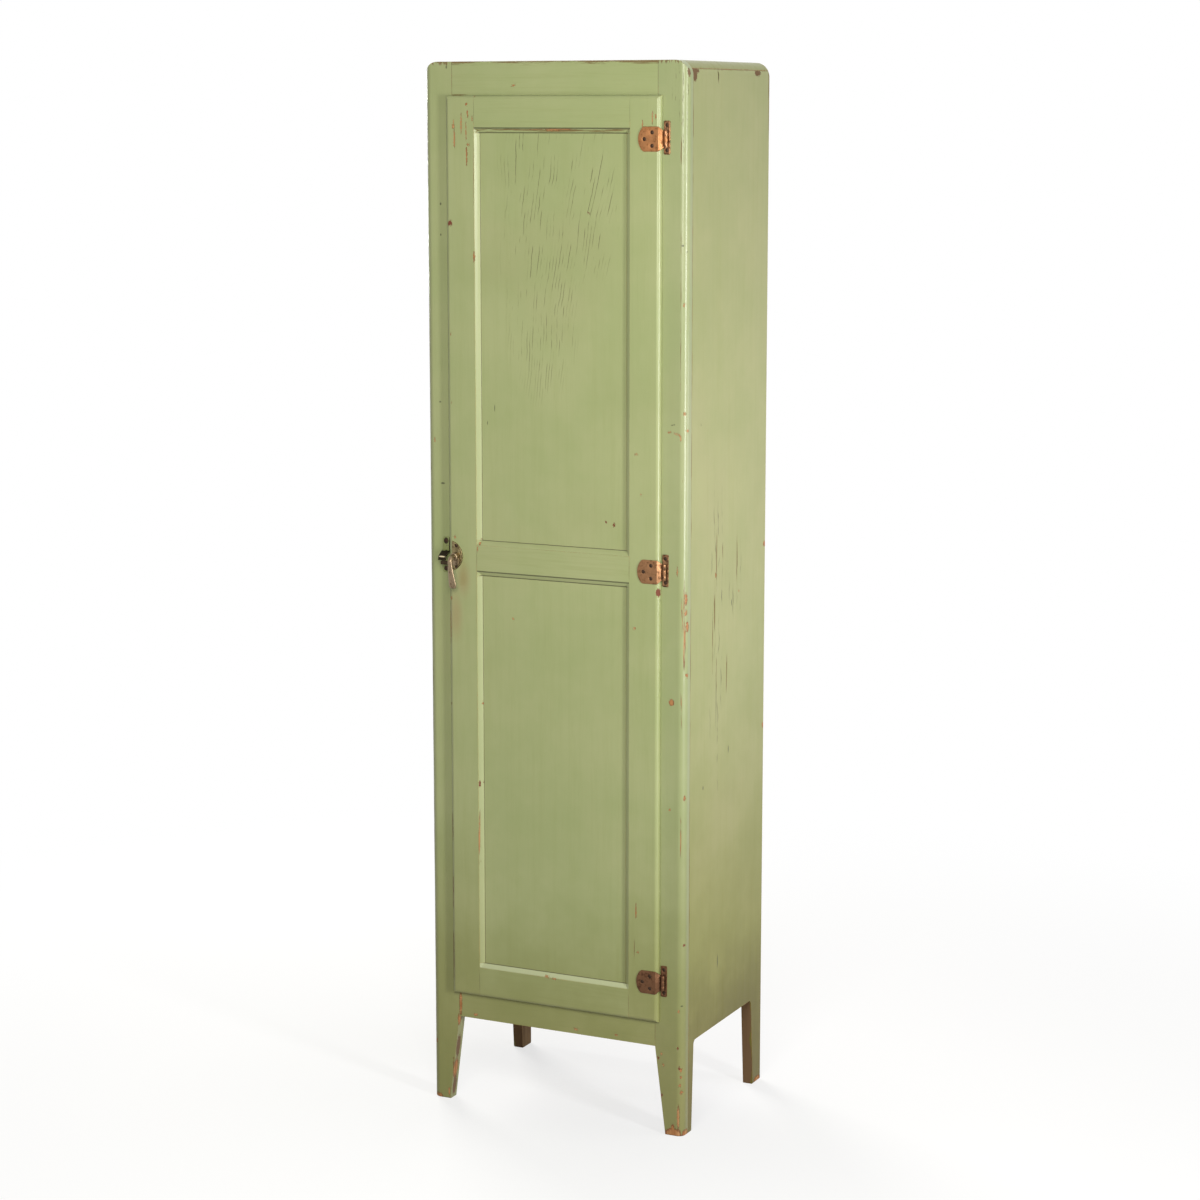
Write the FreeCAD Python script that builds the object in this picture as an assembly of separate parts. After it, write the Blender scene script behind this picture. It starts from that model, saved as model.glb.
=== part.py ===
# Chimney cabinet: a tall, narrow painted cupboard on legs, with one lipped door.
# Millimetres. +X is to the right as one faces the door, the front looks to -Y and +Z is up.
# The origin is on the floor, in the middle of the overall box.
import FreeCAD, Part
import math
import os

V = FreeCAD.Vector

# Case, outside
CASE_H = 1829.0              # floor to top
CASE_W = 490.0               # across the two side boards
CASE_D = 343.0               # face of the front frame to the back edge of the side boards
CORNER_R = 25.0              # rounded left and right corners of the top
EDGE_R = 12.7                # rounded outer front edges
TOP_EASE = 2.0               # eased front edge of the top
FOOT_EASE = 2.5              # worn lower edges of the feet
JOINT_FIT = 0.2              # play in tenons, grooves and rabbets

# Front frame
FRAME_T = 22.0               # thickness of stiles and rails
STILE_W = 53.0               # width of a stile above the legs
FRONT_FOOT_W = 33.0          # width of the front leg at the floor
FOOT_H = 157.0               # floor to the underside of the bottom rail
BOTTOM_RAIL_H = 53.0
TOP_RAIL_H = 65.0
FRAME_TENON_L = 25.0
FRAME_TENON_T = 8.0
FRAME_TENON_SHOULDER = 9.0   # rail left bare above and below the tenon

# Side boards, with the legs sawn in their lower end
SIDE_T = 19.0
SIDE_FOOT_H = 162.0          # floor to the top of the cut-out
FRONT_LEG_D = 44.0           # front leg, face of the frame to the cut-out, at its top
FRONT_FOOT_D = 36.0          # the same at the floor
BACK_LEG_D = 46.0            # back leg at the top of the cut-out
BACK_FOOT_D = 34.0           # back leg at the floor
LEG_R = 8.0                  # inner corners of the cut-out

# Top, floor and shelves
TOP_T = 14.0
FLOOR_T = 16.0
SHELF_T = 16.0
SHELF_COUNT = 4
SHELF_PLAY = 1.0             # each end of a shelf to the side board
SHELF_SETBACK = 3.0          # front frame to the front edge of a shelf
CLEAT_W = 16.0
CLEAT_H = 22.0

# Back, of tongued and grooved boards
BACK_T = 10.0
BACK_RABBET = 9.0            # how far the back sinks into each side board
BACK_COUNT = 3
BACK_SEAM = 0.6              # open joint between two boards
BACK_TONGUE_L = 6.0
BACK_TONGUE_T = 3.4

# Fasteners of the case
DOWEL_R = 4.0
DOWEL_IN_FRAME = 13.0        # depth of the dowel in a front stile
DOWEL_IN_SIDE = 20.0         # depth of the dowel in a side board
DOWEL_COUNT = 4
DOWEL_END = 90.0             # first and last dowel to the ends of the side board's front edge
DOWEL_FIT = 0.1
SCREW_FIT = 0.1
SCREW_SLOT_W = 0.9
SCREW_SLOT_D = 0.9
CLEAT_SCREW_HEAD_R = 4.0
CLEAT_SCREW_R = 2.0
CLEAT_SCREW_BITE = 12.0      # length of the screw in the side board
CLEAT_SCREW_END = 55.0       # screw to the end of its cleat
TOP_SCREW_BITE = 7.0         # length of the screw in the top board
TOP_SCREW_END = 85.0
NAIL_R = 1.1
NAIL_HEAD_R = 2.6
NAIL_HEAD_T = 1.2
NAIL_BITE = 15.0             # length of a back nail in the wood behind the board
NAIL_ROWS = 5                # nails up each side board
NAIL_END = 60.0              # first and last of them to the ends of the back

# Door: lipped all round, with two flat panels
DOOR_T = 19.0
LIP_PROUD = 9.5              # face of the door in front of the face of the frame
LIP_GAP = 0.5                # back of the lip to the frame
LIP_OVER = 8.5               # overlap of the lip on the frame
LIP_R = 7.0                  # rounded edge of the lip
DOOR_GAP = 2.0               # inset part of the door to the opening
DOOR_STILE_W = 55.0          # edge of the lip to the sticking
DOOR_TOP_RAIL = 53.4
DOOR_MIDDLE_RAIL = 45.0
DOOR_BOTTOM_RAIL = 53.0
STICK_W = 9.0                # width of the moulded edge round a panel
STICK_D = 6.5                # face of the door to the panel
STICK_STEP = 0.8             # small square step at its start
STICK_SWELL = 0.7            # how far its curve stands out from straight
PANEL_T = 5.0
PANEL_IN = 8.0               # edge of the panel in its groove
PANEL_PLAY = 1.0             # edge of the panel to the bottom of the groove
PANEL_FIT = 0.1
DOOR_TENON_L = 30.0
DOOR_TENON_T = 5.0
DOOR_TENON_SHOULDER = 2.0    # tenon to the panel groove or to the door's own end

# Offset hinges
HINGE_INSET = 71.0           # end of the door to the middle of the first and last hinge
HINGE_DROP = 1.5             # middle of the door to the middle hinge
LEAF_T = 1.5
LEAF_GAP = 0.15              # bent leaf to the rounded lip
DOOR_LEAF_W = 36.0           # fold to the round end
DOOR_LEAF_H = 40.5
DOOR_LEAF_R = 27.0           # round end of the leaf
DOOR_LEAF_NECK_H = 26.0      # height of the bent web beside the barrel
FRAME_LEAF_W = 11.5
FRAME_LEAF_H = 55.0
FRAME_LEAF_R = 2.5
FRAME_LEAF_UP = 2.4          # middle of the barrel to the middle of the narrow leaf
BARREL_R = 3.25
BARREL_OUT = 8.0             # edge of the lip to the middle of the barrel
BARREL_CLEAR = 0.35          # barrel to the frame leaf behind it
KNUCKLE_H = 9.0              # middle knuckle, on the door leaf
FRAME_KNUCKLE_H = 8.0        # each of the two knuckles on the frame leaf
KNUCKLE_GAP = 0.3
PIN_R = 1.6
PIN_FIT = 0.05
PIN_CAP_R = 2.6
PIN_CAP_H = 1.2
HINGE_SCREW_HEAD_R = 3.3
HINGE_SCREW_R = 1.7
HINGE_SCREW_L = 12.0
DOOR_SCREW_NEAR = 10.5       # fold to the two screws of the door leaf
DOOR_SCREW_FAR = 24.5        # fold to the single screw
DOOR_SCREW_RISE = 10.9       # the two screws above and below the middle
FRAME_SCREW_RISE = 20.3

# Latch: plate and drop lever on the door, hooded keeper on the left stile
PLATE_FROM_EDGE = 7.5        # edge of the lip to the straight side of the plate
LATCH_UP = 1.2               # middle of the rail to the spindle
PLATE_W = 20.5
PLATE_H = 52.0
PLATE_T = 2.0
PLATE_R = 2.0                # corners of the straight side
LATCH_FROM_EDGE = 16.0       # edge of the lip to the spindle
PLATE_SCREW_RISE = 18.5
SPINDLE_R = 3.0
SPINDLE_FIT = 0.05
SPINDLE_IN = 5.0             # depth of the spindle in the door
SPINDLE_HEAD_R = 5.0
SPINDLE_HEAD_T = 1.8
WASHER_R = 6.0
WASHER_T = 0.8
LEVER_PLAY = 0.1             # lever to the washer and to the spindle's head
BOSS_R = 7.0
BOSS_T = 6.0
LEVER_PLATE_T = 3.6
TONGUE_L = 29.0              # spindle to the end of the tongue
TONGUE_TOP = 9.2             # spindle down to the upper edge of the tongue
TONGUE_H = 6.3
HANDLE_OUT = 28.0            # face of the door to the front of the handle
HANDLE_DROP = 54.0           # spindle down to the tip of the handle
HANDLE_ARM_TOP = 6.4         # spindle down to the top of the handle's arm
HANDLE_ARM_END = 8.0         # the same where the arm meets the front of the handle
HANDLE_BAND = 5.6            # thickness of arm and handle
HANDLE_BEND_R = 7.0
HANDLE_STRAIGHT = 16.0       # length of the handle's front that is parallel to the door
HANDLE_SLANT = 5.5           # how far the tip leans back to the door
HANDLE_SWEEP_R = 30.0        # easy curve where the lean starts
HANDLE_TOP_W = 7.6
HANDLE_TIP_W = 12.6
HANDLE_TIP_R = 5.5
HANDLE_EDGE_R = 2.4          # rounding of the tip, seen from the side
KEEPER_GAP = 2.0             # edge of the lip to the keeper
KEEPER_W = 14.0
KEEPER_H = 62.0
KEEPER_T = 1.6
KEEPER_R = 3.0
KEEPER_SCREW_RISE = 24.2
HOOD_T = 1.8
HOOD_RISE = 10.0             # spindle up to the root of the hood
HOOD_NOSE = 1.0              # spindle down to the fold of the hood
HOOD_DROP = 8.0              # spindle down to the lower edge of the hood
HOOD_CLEAR = 0.4             # hood to the front of the tongue

# Planes and lines that follow from these sizes
FACE_Y = (HANDLE_OUT + LIP_PROUD - CASE_D) / 2
FRAME_BACK_Y = FACE_Y + FRAME_T
BACK_Y = FACE_Y + CASE_D
BACK_FRONT_Y = BACK_Y - BACK_T
HALF_W = CASE_W / 2
SIDE_IN_X = HALF_W - SIDE_T
OPENING_X = HALF_W - STILE_W
OPENING_LOW = FOOT_H + BOTTOM_RAIL_H
OPENING_HIGH = CASE_H - TOP_RAIL_H
TOP_UNDER = CASE_H - TOP_T
FLOOR_UNDER = OPENING_LOW - FLOOR_T
SHELF_PITCH = (TOP_UNDER - OPENING_LOW) / (SHELF_COUNT + 1)

DOOR_FACE_Y = FACE_Y - LIP_PROUD
DOOR_BACK_Y = DOOR_FACE_Y + DOOR_T
LIP_X = OPENING_X + LIP_OVER
LIP_LOW = OPENING_LOW - LIP_OVER
LIP_HIGH = OPENING_HIGH + LIP_OVER
RAIL_X = LIP_X - DOOR_STILE_W
GROOVE_D = PANEL_IN + PANEL_PLAY
PANEL_SIGHT = (LIP_HIGH - LIP_LOW - DOOR_TOP_RAIL - DOOR_MIDDLE_RAIL - DOOR_BOTTOM_RAIL) / 2
LOWER_PANEL = (LIP_LOW + DOOR_BOTTOM_RAIL, LIP_LOW + DOOR_BOTTOM_RAIL + PANEL_SIGHT)
UPPER_PANEL = (LOWER_PANEL[1] + DOOR_MIDDLE_RAIL, LIP_HIGH - DOOR_TOP_RAIL)

HINGE_X = LIP_X + BARREL_OUT
HINGE_Y = FACE_Y - LEAF_T - BARREL_CLEAR - BARREL_R
HINGE_LEVELS = {
    "top": LIP_HIGH - HINGE_INSET,
    "middle": (LIP_HIGH + LIP_LOW) / 2 - HINGE_DROP,
    "bottom": LIP_LOW + HINGE_INSET,
}
LIP_ROUND = min(LIP_R, LIP_PROUD - LIP_GAP - 0.5)

LATCH_X = -(LIP_X - LATCH_FROM_EDGE)
LATCH_Z = (LOWER_PANEL[1] + UPPER_PANEL[0]) / 2 + LATCH_UP
PLATE_FRONT_Y = DOOR_FACE_Y - PLATE_T
LEVER_BACK_Y = PLATE_FRONT_Y - WASHER_T - LEVER_PLAY
TONGUE_FRONT_Y = LEVER_BACK_Y - LEVER_PLATE_T
KEEPER_X = -(LIP_X + KEEPER_GAP + KEEPER_W / 2)

NODES = {}


# Shape helpers
def box(x, y, z):
    """Box between two limits on each axis, given in either order."""
    corner = V(min(x), min(y), min(z))
    return Part.makeBox(abs(x[1] - x[0]), abs(y[1] - y[0]), abs(z[1] - z[0]), corner)


def rounded_wire(corners):
    """Closed wire through coplanar corners, each given as a point and a radius."""
    stops = []
    for index, (point, radius) in enumerate(corners):
        if radius == 0:
            stops.append((point, None, point))
            continue
        back = (corners[index - 1][0] - point).normalize()
        ahead = (corners[(index + 1) % len(corners)][0] - point).normalize()
        half = back.getAngle(ahead) / 2
        reach = radius / math.tan(half)
        middle = point + (back + ahead).normalize() * (radius / math.sin(half) - radius)
        stops.append((point + back * reach, middle, point + ahead * reach))
    edges = []
    for index, (start, middle, end) in enumerate(stops):
        if middle is not None:
            edges.append(Part.Arc(start, middle, end).toShape())
        edges.append(Part.makeLine(end, stops[(index + 1) % len(stops)][0]))
    return Part.Wire(edges)


def plate(corners, sweep):
    """Prism on an outline of corners, each given as a point and a radius."""
    return Part.Face(rounded_wire(corners)).extrude(sweep)


def front_outline(corners, y):
    """Corners of an outline seen from the front, from x, z and radius."""
    return [(V(x, y, z), radius) for x, z, radius in corners]


def aimed(shape, point, direction):
    """Shape made along +Z from the origin, moved to a point and turned to a direction."""
    moved = shape.copy()
    moved.Placement = FreeCAD.Placement(point, FreeCAD.Rotation(V(0, 0, 1), direction))
    return moved


def spread(low, high, count):
    """Evenly spaced values from low to high, both included."""
    return [low + (high - low) * step / (count - 1) for step in range(count)]


def cut_all(shape, tools):
    """Shape with every tool cut away."""
    for tool in tools:
        shape = shape.cut(tool)
    return shape


# Fasteners, made along +Z with the head's top at the origin
def screw_blank(head_r, shank_r, length):
    """Countersunk screw without its slot, also used oversize as its hole."""
    head = Part.makeCone(head_r, shank_r, head_r - shank_r)
    return head.fuse(Part.makeCylinder(shank_r, length)).removeSplitter()


def slotted_screw(head_r, shank_r, length):
    """Countersunk slotted wood screw."""
    slot = box((-head_r, head_r), (-SCREW_SLOT_W / 2, SCREW_SLOT_W / 2), (0, SCREW_SLOT_D))
    return screw_blank(head_r, shank_r, length).cut(slot)


def nail_blank(shank_r, head_r, head_t, length):
    """Flat-headed wire nail."""
    return Part.makeCylinder(head_r, head_t).fuse(Part.makeCylinder(shank_r, length)).removeSplitter()


def screw_set(seats, head_r, shank_r, length):
    """Screws and their holes at a list of points and directions."""
    screw = slotted_screw(head_r, shank_r, length)
    hole = screw_blank(head_r + SCREW_FIT, shank_r + SCREW_FIT, length + SCREW_FIT)
    screws = [aimed(screw, point, way) for point, way in seats]
    holes = [aimed(hole, point, way) for point, way in seats]
    return screws, holes


# Where the fasteners of the case sit
def dowel_seats():
    """Dowels along the joint of each front stile and its side board."""
    seats = []
    for side in (-1, 1):
        for z in spread(SIDE_FOOT_H + DOWEL_END, TOP_UNDER - DOWEL_END, DOWEL_COUNT):
            seats.append(V(side * (HALF_W - SIDE_T / 2), FRAME_BACK_Y - DOWEL_IN_FRAME, z))
    return seats


CLEAT_LEVELS = {"floor": FLOOR_UNDER, "top": TOP_UNDER}
for number in range(1, SHELF_COUNT + 1):
    CLEAT_LEVELS["shelf_%d" % number] = OPENING_LOW + number * SHELF_PITCH - SHELF_T


def cleat_screw_seats():
    """Two screws through each cleat into its side board."""
    seats = []
    for under in CLEAT_LEVELS.values():
        for side in (-1, 1):
            for y in (FRAME_BACK_Y + CLEAT_SCREW_END, BACK_FRONT_Y - CLEAT_SCREW_END):
                seats.append((V(side * (SIDE_IN_X - CLEAT_W), y, under - CLEAT_H / 2), V(side, 0, 0)))
    return seats


def top_screw_seats():
    """Two screws up through each top cleat into the top board."""
    seats = []
    for side in (-1, 1):
        for y in (FRAME_BACK_Y + TOP_SCREW_END, BACK_FRONT_Y - TOP_SCREW_END):
            seats.append((V(side * (SIDE_IN_X - CLEAT_W / 2), y, TOP_UNDER - CLEAT_H), V(0, 0, 1)))
    return seats


BACK_EDGE_X = SIDE_IN_X + BACK_RABBET - JOINT_FIT
BACK_BOARD_W = 2 * BACK_EDGE_X / BACK_COUNT


def back_nail_seats():
    """Nails up both side boards, and one into the floor and each shelf for every back board."""
    places = []
    for side in (-1, 1):
        for z in spread(SIDE_FOOT_H + NAIL_END, TOP_UNDER - NAIL_END, NAIL_ROWS):
            places.append((side * (SIDE_IN_X + BACK_RABBET / 2), z))
    levels = [FLOOR_UNDER + FLOOR_T / 2]
    for number in range(1, SHELF_COUNT + 1):
        levels.append(OPENING_LOW + number * SHELF_PITCH - SHELF_T / 2)
    for index in range(BACK_COUNT):
        for z in levels:
            places.append((-BACK_EDGE_X + (index + 0.5) * BACK_BOARD_W, z))
    return [V(x, BACK_Y, z) for x, z in places]


DOWEL_LENGTH = DOWEL_IN_FRAME + DOWEL_IN_SIDE
DOWELS = [aimed(Part.makeCylinder(DOWEL_R, DOWEL_LENGTH), seat, V(0, 1, 0)) for seat in dowel_seats()]
DOWEL_HOLE = Part.makeCylinder(DOWEL_R + DOWEL_FIT, DOWEL_LENGTH + 2 * DOWEL_FIT)
DOWEL_HOLES = [aimed(DOWEL_HOLE, seat - V(0, DOWEL_FIT, 0), V(0, 1, 0)) for seat in dowel_seats()]
CLEAT_SCREWS, CLEAT_SCREW_HOLES = screw_set(
    cleat_screw_seats(), CLEAT_SCREW_HEAD_R, CLEAT_SCREW_R, CLEAT_W + CLEAT_SCREW_BITE)
TOP_SCREWS, TOP_SCREW_HOLES = screw_set(
    top_screw_seats(), CLEAT_SCREW_HEAD_R, CLEAT_SCREW_R, CLEAT_H + TOP_SCREW_BITE)
NAIL = nail_blank(NAIL_R, NAIL_HEAD_R, NAIL_HEAD_T, BACK_T + NAIL_BITE)
NAIL_HOLE = nail_blank(
    NAIL_R + SCREW_FIT, NAIL_HEAD_R + SCREW_FIT, NAIL_HEAD_T + SCREW_FIT, BACK_T + NAIL_BITE + SCREW_FIT)
NAILS = [aimed(NAIL, seat, V(0, -1, 0)) for seat in back_nail_seats()]
NAIL_HOLES = [aimed(NAIL_HOLE, seat, V(0, -1, 0)) for seat in back_nail_seats()]

NODES["frame_dowels"] = Part.makeCompound(DOWELS)
NODES["cleat_screws"] = Part.makeCompound(CLEAT_SCREWS)
NODES["top_screws"] = Part.makeCompound(TOP_SCREWS)
NODES["back_nails"] = Part.makeCompound(NAILS)


# Outer shape of the case: rounded top corners, rounded front edges, eased top and feet
def case_envelope():
    """Solid that every outside piece of the case is trimmed to."""
    front = plate(front_outline([
        (-HALF_W, 0, 0), (HALF_W, 0, 0), (HALF_W, CASE_H, CORNER_R), (-HALF_W, CASE_H, CORNER_R)],
        FACE_Y), V(0, CASE_D, 0))
    plan = plate([
        (V(-HALF_W, FACE_Y, 0), EDGE_R), (V(HALF_W, FACE_Y, 0), EDGE_R),
        (V(HALF_W, BACK_Y, 0), 0), (V(-HALF_W, BACK_Y, 0), 0)], V(0, 0, CASE_H))
    feet = [edge for edge in plan.Edges if edge.BoundBox.ZMax < 1]
    plan = plan.makeFillet(FOOT_EASE, feet)
    profile = plate([
        (V(-HALF_W, FACE_Y, 0), 0), (V(-HALF_W, BACK_Y, 0), 0),
        (V(-HALF_W, BACK_Y, CASE_H), 0), (V(-HALF_W, FACE_Y, CASE_H), TOP_EASE)], V(CASE_W, 0, 0))
    return front.common(plan).common(profile)


ENVELOPE = case_envelope()


# Front frame
def frame_tenon(side, low, high, fit):
    """Tenon of a front rail, or with some fit its mortise."""
    middle = FACE_Y + FRAME_T / 2
    return box(
        (side * OPENING_X, side * (OPENING_X + FRAME_TENON_L + fit)),
        (middle - FRAME_TENON_T / 2 - fit, middle + FRAME_TENON_T / 2 + fit),
        (low + FRAME_TENON_SHOULDER - fit, high - FRAME_TENON_SHOULDER + fit))


FRONT_RAILS = {"bottom": (FOOT_H, OPENING_LOW), "top": (OPENING_HIGH, CASE_H)}


def front_stile(side):
    """Stile that runs down as the front leg, tapering on its inner edge."""
    blank = plate(front_outline([
        (side * HALF_W, 0, 0), (side * HALF_W, CASE_H, 0), (side * OPENING_X, CASE_H, 0),
        (side * OPENING_X, FOOT_H, 0), (side * (HALF_W - FRONT_FOOT_W), 0, 0)],
        FACE_Y), V(0, FRAME_T, 0))
    mortises = [frame_tenon(side, low, high, JOINT_FIT) for low, high in FRONT_RAILS.values()]
    return cut_all(blank.common(ENVELOPE), mortises + DOWEL_HOLES)


def front_rail(low, high):
    """Rail between the stiles, with a tenon at each end."""
    rail = box((-OPENING_X, OPENING_X), (FACE_Y, FRAME_BACK_Y), (low, high)).common(ENVELOPE)
    tenons = [frame_tenon(side, low, high, 0) for side in (-1, 1)]
    return rail.fuse(tenons).removeSplitter()


for place, (low, high) in FRONT_RAILS.items():
    NODES["front_rail_" + place] = front_rail(low, high)
NODES["front_stile_left"] = front_stile(-1)
NODES["front_stile_right"] = front_stile(1)


# Side boards
def side_board(side):
    """Board with both legs sawn in its foot and a stopped rabbet for the back."""
    outline = [
        (FRAME_BACK_Y, 0, 0), (FRAME_BACK_Y, TOP_UNDER, 0), (BACK_Y, TOP_UNDER, 0), (BACK_Y, 0, 0),
        (BACK_Y - BACK_FOOT_D, 0, 0), (BACK_Y - BACK_LEG_D, SIDE_FOOT_H, LEG_R),
        (FACE_Y + FRONT_LEG_D, SIDE_FOOT_H, LEG_R), (FACE_Y + FRONT_FOOT_D, 0, 0)]
    corners = [(V(side * SIDE_IN_X, y, z), radius) for y, z, radius in outline]
    board = plate(corners, V(side * SIDE_T, 0, 0)).common(ENVELOPE)
    rabbet = box(
        (side * SIDE_IN_X, side * (SIDE_IN_X + BACK_RABBET)), (BACK_FRONT_Y, BACK_Y), (SIDE_FOOT_H, TOP_UNDER))
    return cut_all(board, [rabbet] + DOWEL_HOLES + CLEAT_SCREW_HOLES + NAIL_HOLES)


NODES["side_board_left"] = side_board(-1)
NODES["side_board_right"] = side_board(1)

# Top board, laid on the side boards behind the front frame
TOP_BOARD = box((-HALF_W, HALF_W), (FRAME_BACK_Y, BACK_Y), (TOP_UNDER, CASE_H)).common(ENVELOPE)
NODES["top_board"] = cut_all(TOP_BOARD, TOP_SCREW_HOLES)

# Floor and shelves
FLOOR = box((-SIDE_IN_X, SIDE_IN_X), (FRAME_BACK_Y, BACK_FRONT_Y), (FLOOR_UNDER, OPENING_LOW))
NODES["floor_board"] = cut_all(FLOOR, NAIL_HOLES)
for number in range(1, SHELF_COUNT + 1):
    shelf_top = OPENING_LOW + number * SHELF_PITCH
    shelf = box(
        (-SIDE_IN_X + SHELF_PLAY, SIDE_IN_X - SHELF_PLAY),
        (FRAME_BACK_Y + SHELF_SETBACK, BACK_FRONT_Y), (shelf_top - SHELF_T, shelf_top))
    NODES["shelf_%d" % number] = cut_all(shelf, NAIL_HOLES)

# Cleats under the floor, the shelves and the top
for level, under in CLEAT_LEVELS.items():
    for side, hand in ((-1, "left"), (1, "right")):
        cleat = box(
            (side * (SIDE_IN_X - CLEAT_W), side * SIDE_IN_X), (FRAME_BACK_Y, BACK_FRONT_Y),
            (under - CLEAT_H, under))
        NODES["cleat_%s_%s" % (level, hand)] = cut_all(cleat, CLEAT_SCREW_HOLES + TOP_SCREW_HOLES)


# Back boards
def back_board(index):
    """One board of the back, with a tongue to the right and a groove to the left."""
    left = -BACK_EDGE_X + index * BACK_BOARD_W
    right = left + BACK_BOARD_W
    has_groove = index > 0
    has_tongue = index < BACK_COUNT - 1
    board = box(
        (left + has_groove * BACK_SEAM / 2, right - has_tongue * BACK_SEAM / 2),
        (BACK_FRONT_Y, BACK_Y), (SIDE_FOOT_H, TOP_UNDER))
    middle = BACK_FRONT_Y + BACK_T / 2
    if has_groove:
        depth = left + BACK_TONGUE_L + JOINT_FIT
        half = BACK_TONGUE_T / 2 + JOINT_FIT
        board = board.cut(box((left, depth), (middle - half, middle + half), (SIDE_FOOT_H, TOP_UNDER)))
    if has_tongue:
        half = BACK_TONGUE_T / 2
        tongue = box(
            (right - BACK_SEAM, right + BACK_TONGUE_L), (middle - half, middle + half), (SIDE_FOOT_H, TOP_UNDER))
        board = board.fuse(tongue).removeSplitter()
    return cut_all(board, NAIL_HOLES)


for index in range(BACK_COUNT):
    NODES["back_board_%d" % (index + 1)] = back_board(index)


# Door
def door_envelope():
    """Outer shape of the door: rounded lip in front, inset part behind."""
    lip = box((-LIP_X, LIP_X), (DOOR_FACE_Y, FACE_Y - LIP_GAP), (LIP_LOW, LIP_HIGH))
    rim = [edge for edge in lip.Edges if edge.BoundBox.YMax < DOOR_FACE_Y + 0.01]
    lip = lip.makeFillet(LIP_ROUND, rim)
    inset = box(
        (-OPENING_X + DOOR_GAP, OPENING_X - DOOR_GAP), (FACE_Y - LIP_GAP, DOOR_BACK_Y),
        (OPENING_LOW + DOOR_GAP, OPENING_HIGH - DOOR_GAP))
    return lip.fuse(inset).removeSplitter()


DOOR_SHAPE = door_envelope()


def stick_profile(low, high, point):
    """Section through an opening: moulded edge in front, square hole behind."""
    front = DOOR_FACE_Y
    step = front + STICK_STEP
    deep = front + STICK_D
    swell = (step + deep) / 2 - STICK_SWELL
    path = [
        point(low, front), point(low, step), point(low + STICK_W, deep), point(low + STICK_W, DOOR_BACK_Y),
        point(high - STICK_W, DOOR_BACK_Y), point(high - STICK_W, deep), point(high, step), point(high, front)]
    bulges = {1: point(low + STICK_W / 2, swell), 5: point(high - STICK_W / 2, swell)}
    edges = []
    for index, start in enumerate(path):
        end = path[(index + 1) % len(path)]
        if index in bulges:
            edges.append(Part.Arc(start, bulges[index], end).toShape())
        else:
            edges.append(Part.makeLine(start, end))
    return Part.Face(Part.Wire(edges))


def opening_cutter(low, high):
    """Opening of one panel with its moulded edge mitred round the corners."""
    upright = stick_profile(-RAIL_X, RAIL_X, lambda u, y: V(u, y, low)).extrude(V(0, 0, high - low))
    level = stick_profile(low, high, lambda u, y: V(-RAIL_X, y, u)).extrude(V(2 * RAIL_X, 0, 0))
    return upright.common(level)


PANEL_FRONT_Y = DOOR_FACE_Y + STICK_D


def panel_box(low, high, edge, fit):
    """Panel with its edges in the grooves, or with more edge and fit the grooves."""
    out = edge - STICK_W
    return box(
        (-RAIL_X - out, RAIL_X + out), (PANEL_FRONT_Y + PANEL_FIT - fit, PANEL_FRONT_Y + PANEL_FIT + PANEL_T + fit),
        (low - out, high + out))


def door_tenon(side, low, high, fit):
    """Tenon of a door rail, or with some fit its mortise."""
    middle = PANEL_FRONT_Y + PANEL_FIT + PANEL_T / 2
    return box(
        (side * RAIL_X, side * (RAIL_X + DOOR_TENON_L + fit)),
        (middle - DOOR_TENON_T / 2 - fit, middle + DOOR_TENON_T / 2 + fit),
        (low - fit, high + fit))


DOOR_RAILS = {
    "bottom": (LIP_LOW, LOWER_PANEL[0] + STICK_W),
    "middle": (LOWER_PANEL[1] - STICK_W, UPPER_PANEL[0] + STICK_W),
    "top": (UPPER_PANEL[1] - STICK_W, LIP_HIGH),
}
TENON_IN = GROOVE_D + DOOR_TENON_SHOULDER
END_IN = LIP_OVER + DOOR_GAP + DOOR_TENON_SHOULDER
DOOR_TENONS = {
    "bottom": (LIP_LOW + END_IN, DOOR_RAILS["bottom"][1] - TENON_IN),
    "middle": (DOOR_RAILS["middle"][0] + TENON_IN, DOOR_RAILS["middle"][1] - TENON_IN),
    "top": (DOOR_RAILS["top"][0] + TENON_IN, LIP_HIGH - END_IN),
}
OPENINGS = [opening_cutter(*LOWER_PANEL), opening_cutter(*UPPER_PANEL)]
GROOVES = [panel_box(low, high, GROOVE_D, PANEL_FIT) for low, high in (LOWER_PANEL, UPPER_PANEL)]


def door_stile(side):
    """Upright of the door, cut back to seat the rails between its moulded edges."""
    inner = RAIL_X - STICK_W
    stile = box((side * LIP_X, side * inner), (DOOR_FACE_Y, DOOR_BACK_Y), (LIP_LOW, LIP_HIGH))
    seats = [
        box((side * RAIL_X, side * inner), (DOOR_FACE_Y, DOOR_BACK_Y), ends) for ends in DOOR_RAILS.values()]
    mortises = [door_tenon(side, low, high, JOINT_FIT) for low, high in DOOR_TENONS.values()]
    return cut_all(stile.common(DOOR_SHAPE), OPENINGS + GROOVES + seats + mortises)


def door_rail(place):
    """Cross rail of the door, with a tenon at each end."""
    rail = box((-RAIL_X, RAIL_X), (DOOR_FACE_Y, DOOR_BACK_Y), DOOR_RAILS[place]).common(DOOR_SHAPE)
    rail = cut_all(rail, OPENINGS + GROOVES)
    tenons = [door_tenon(side, DOOR_TENONS[place][0], DOOR_TENONS[place][1], 0) for side in (-1, 1)]
    return rail.fuse(tenons).removeSplitter()


NODES["door_stile_left"] = door_stile(-1)
NODES["door_stile_right"] = door_stile(1)
for place in DOOR_RAILS:
    NODES["door_rail_" + place] = door_rail(place)
NODES["door_panel_lower"] = panel_box(LOWER_PANEL[0], LOWER_PANEL[1], PANEL_IN, 0)
NODES["door_panel_upper"] = panel_box(UPPER_PANEL[0], UPPER_PANEL[1], PANEL_IN, 0)


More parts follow.
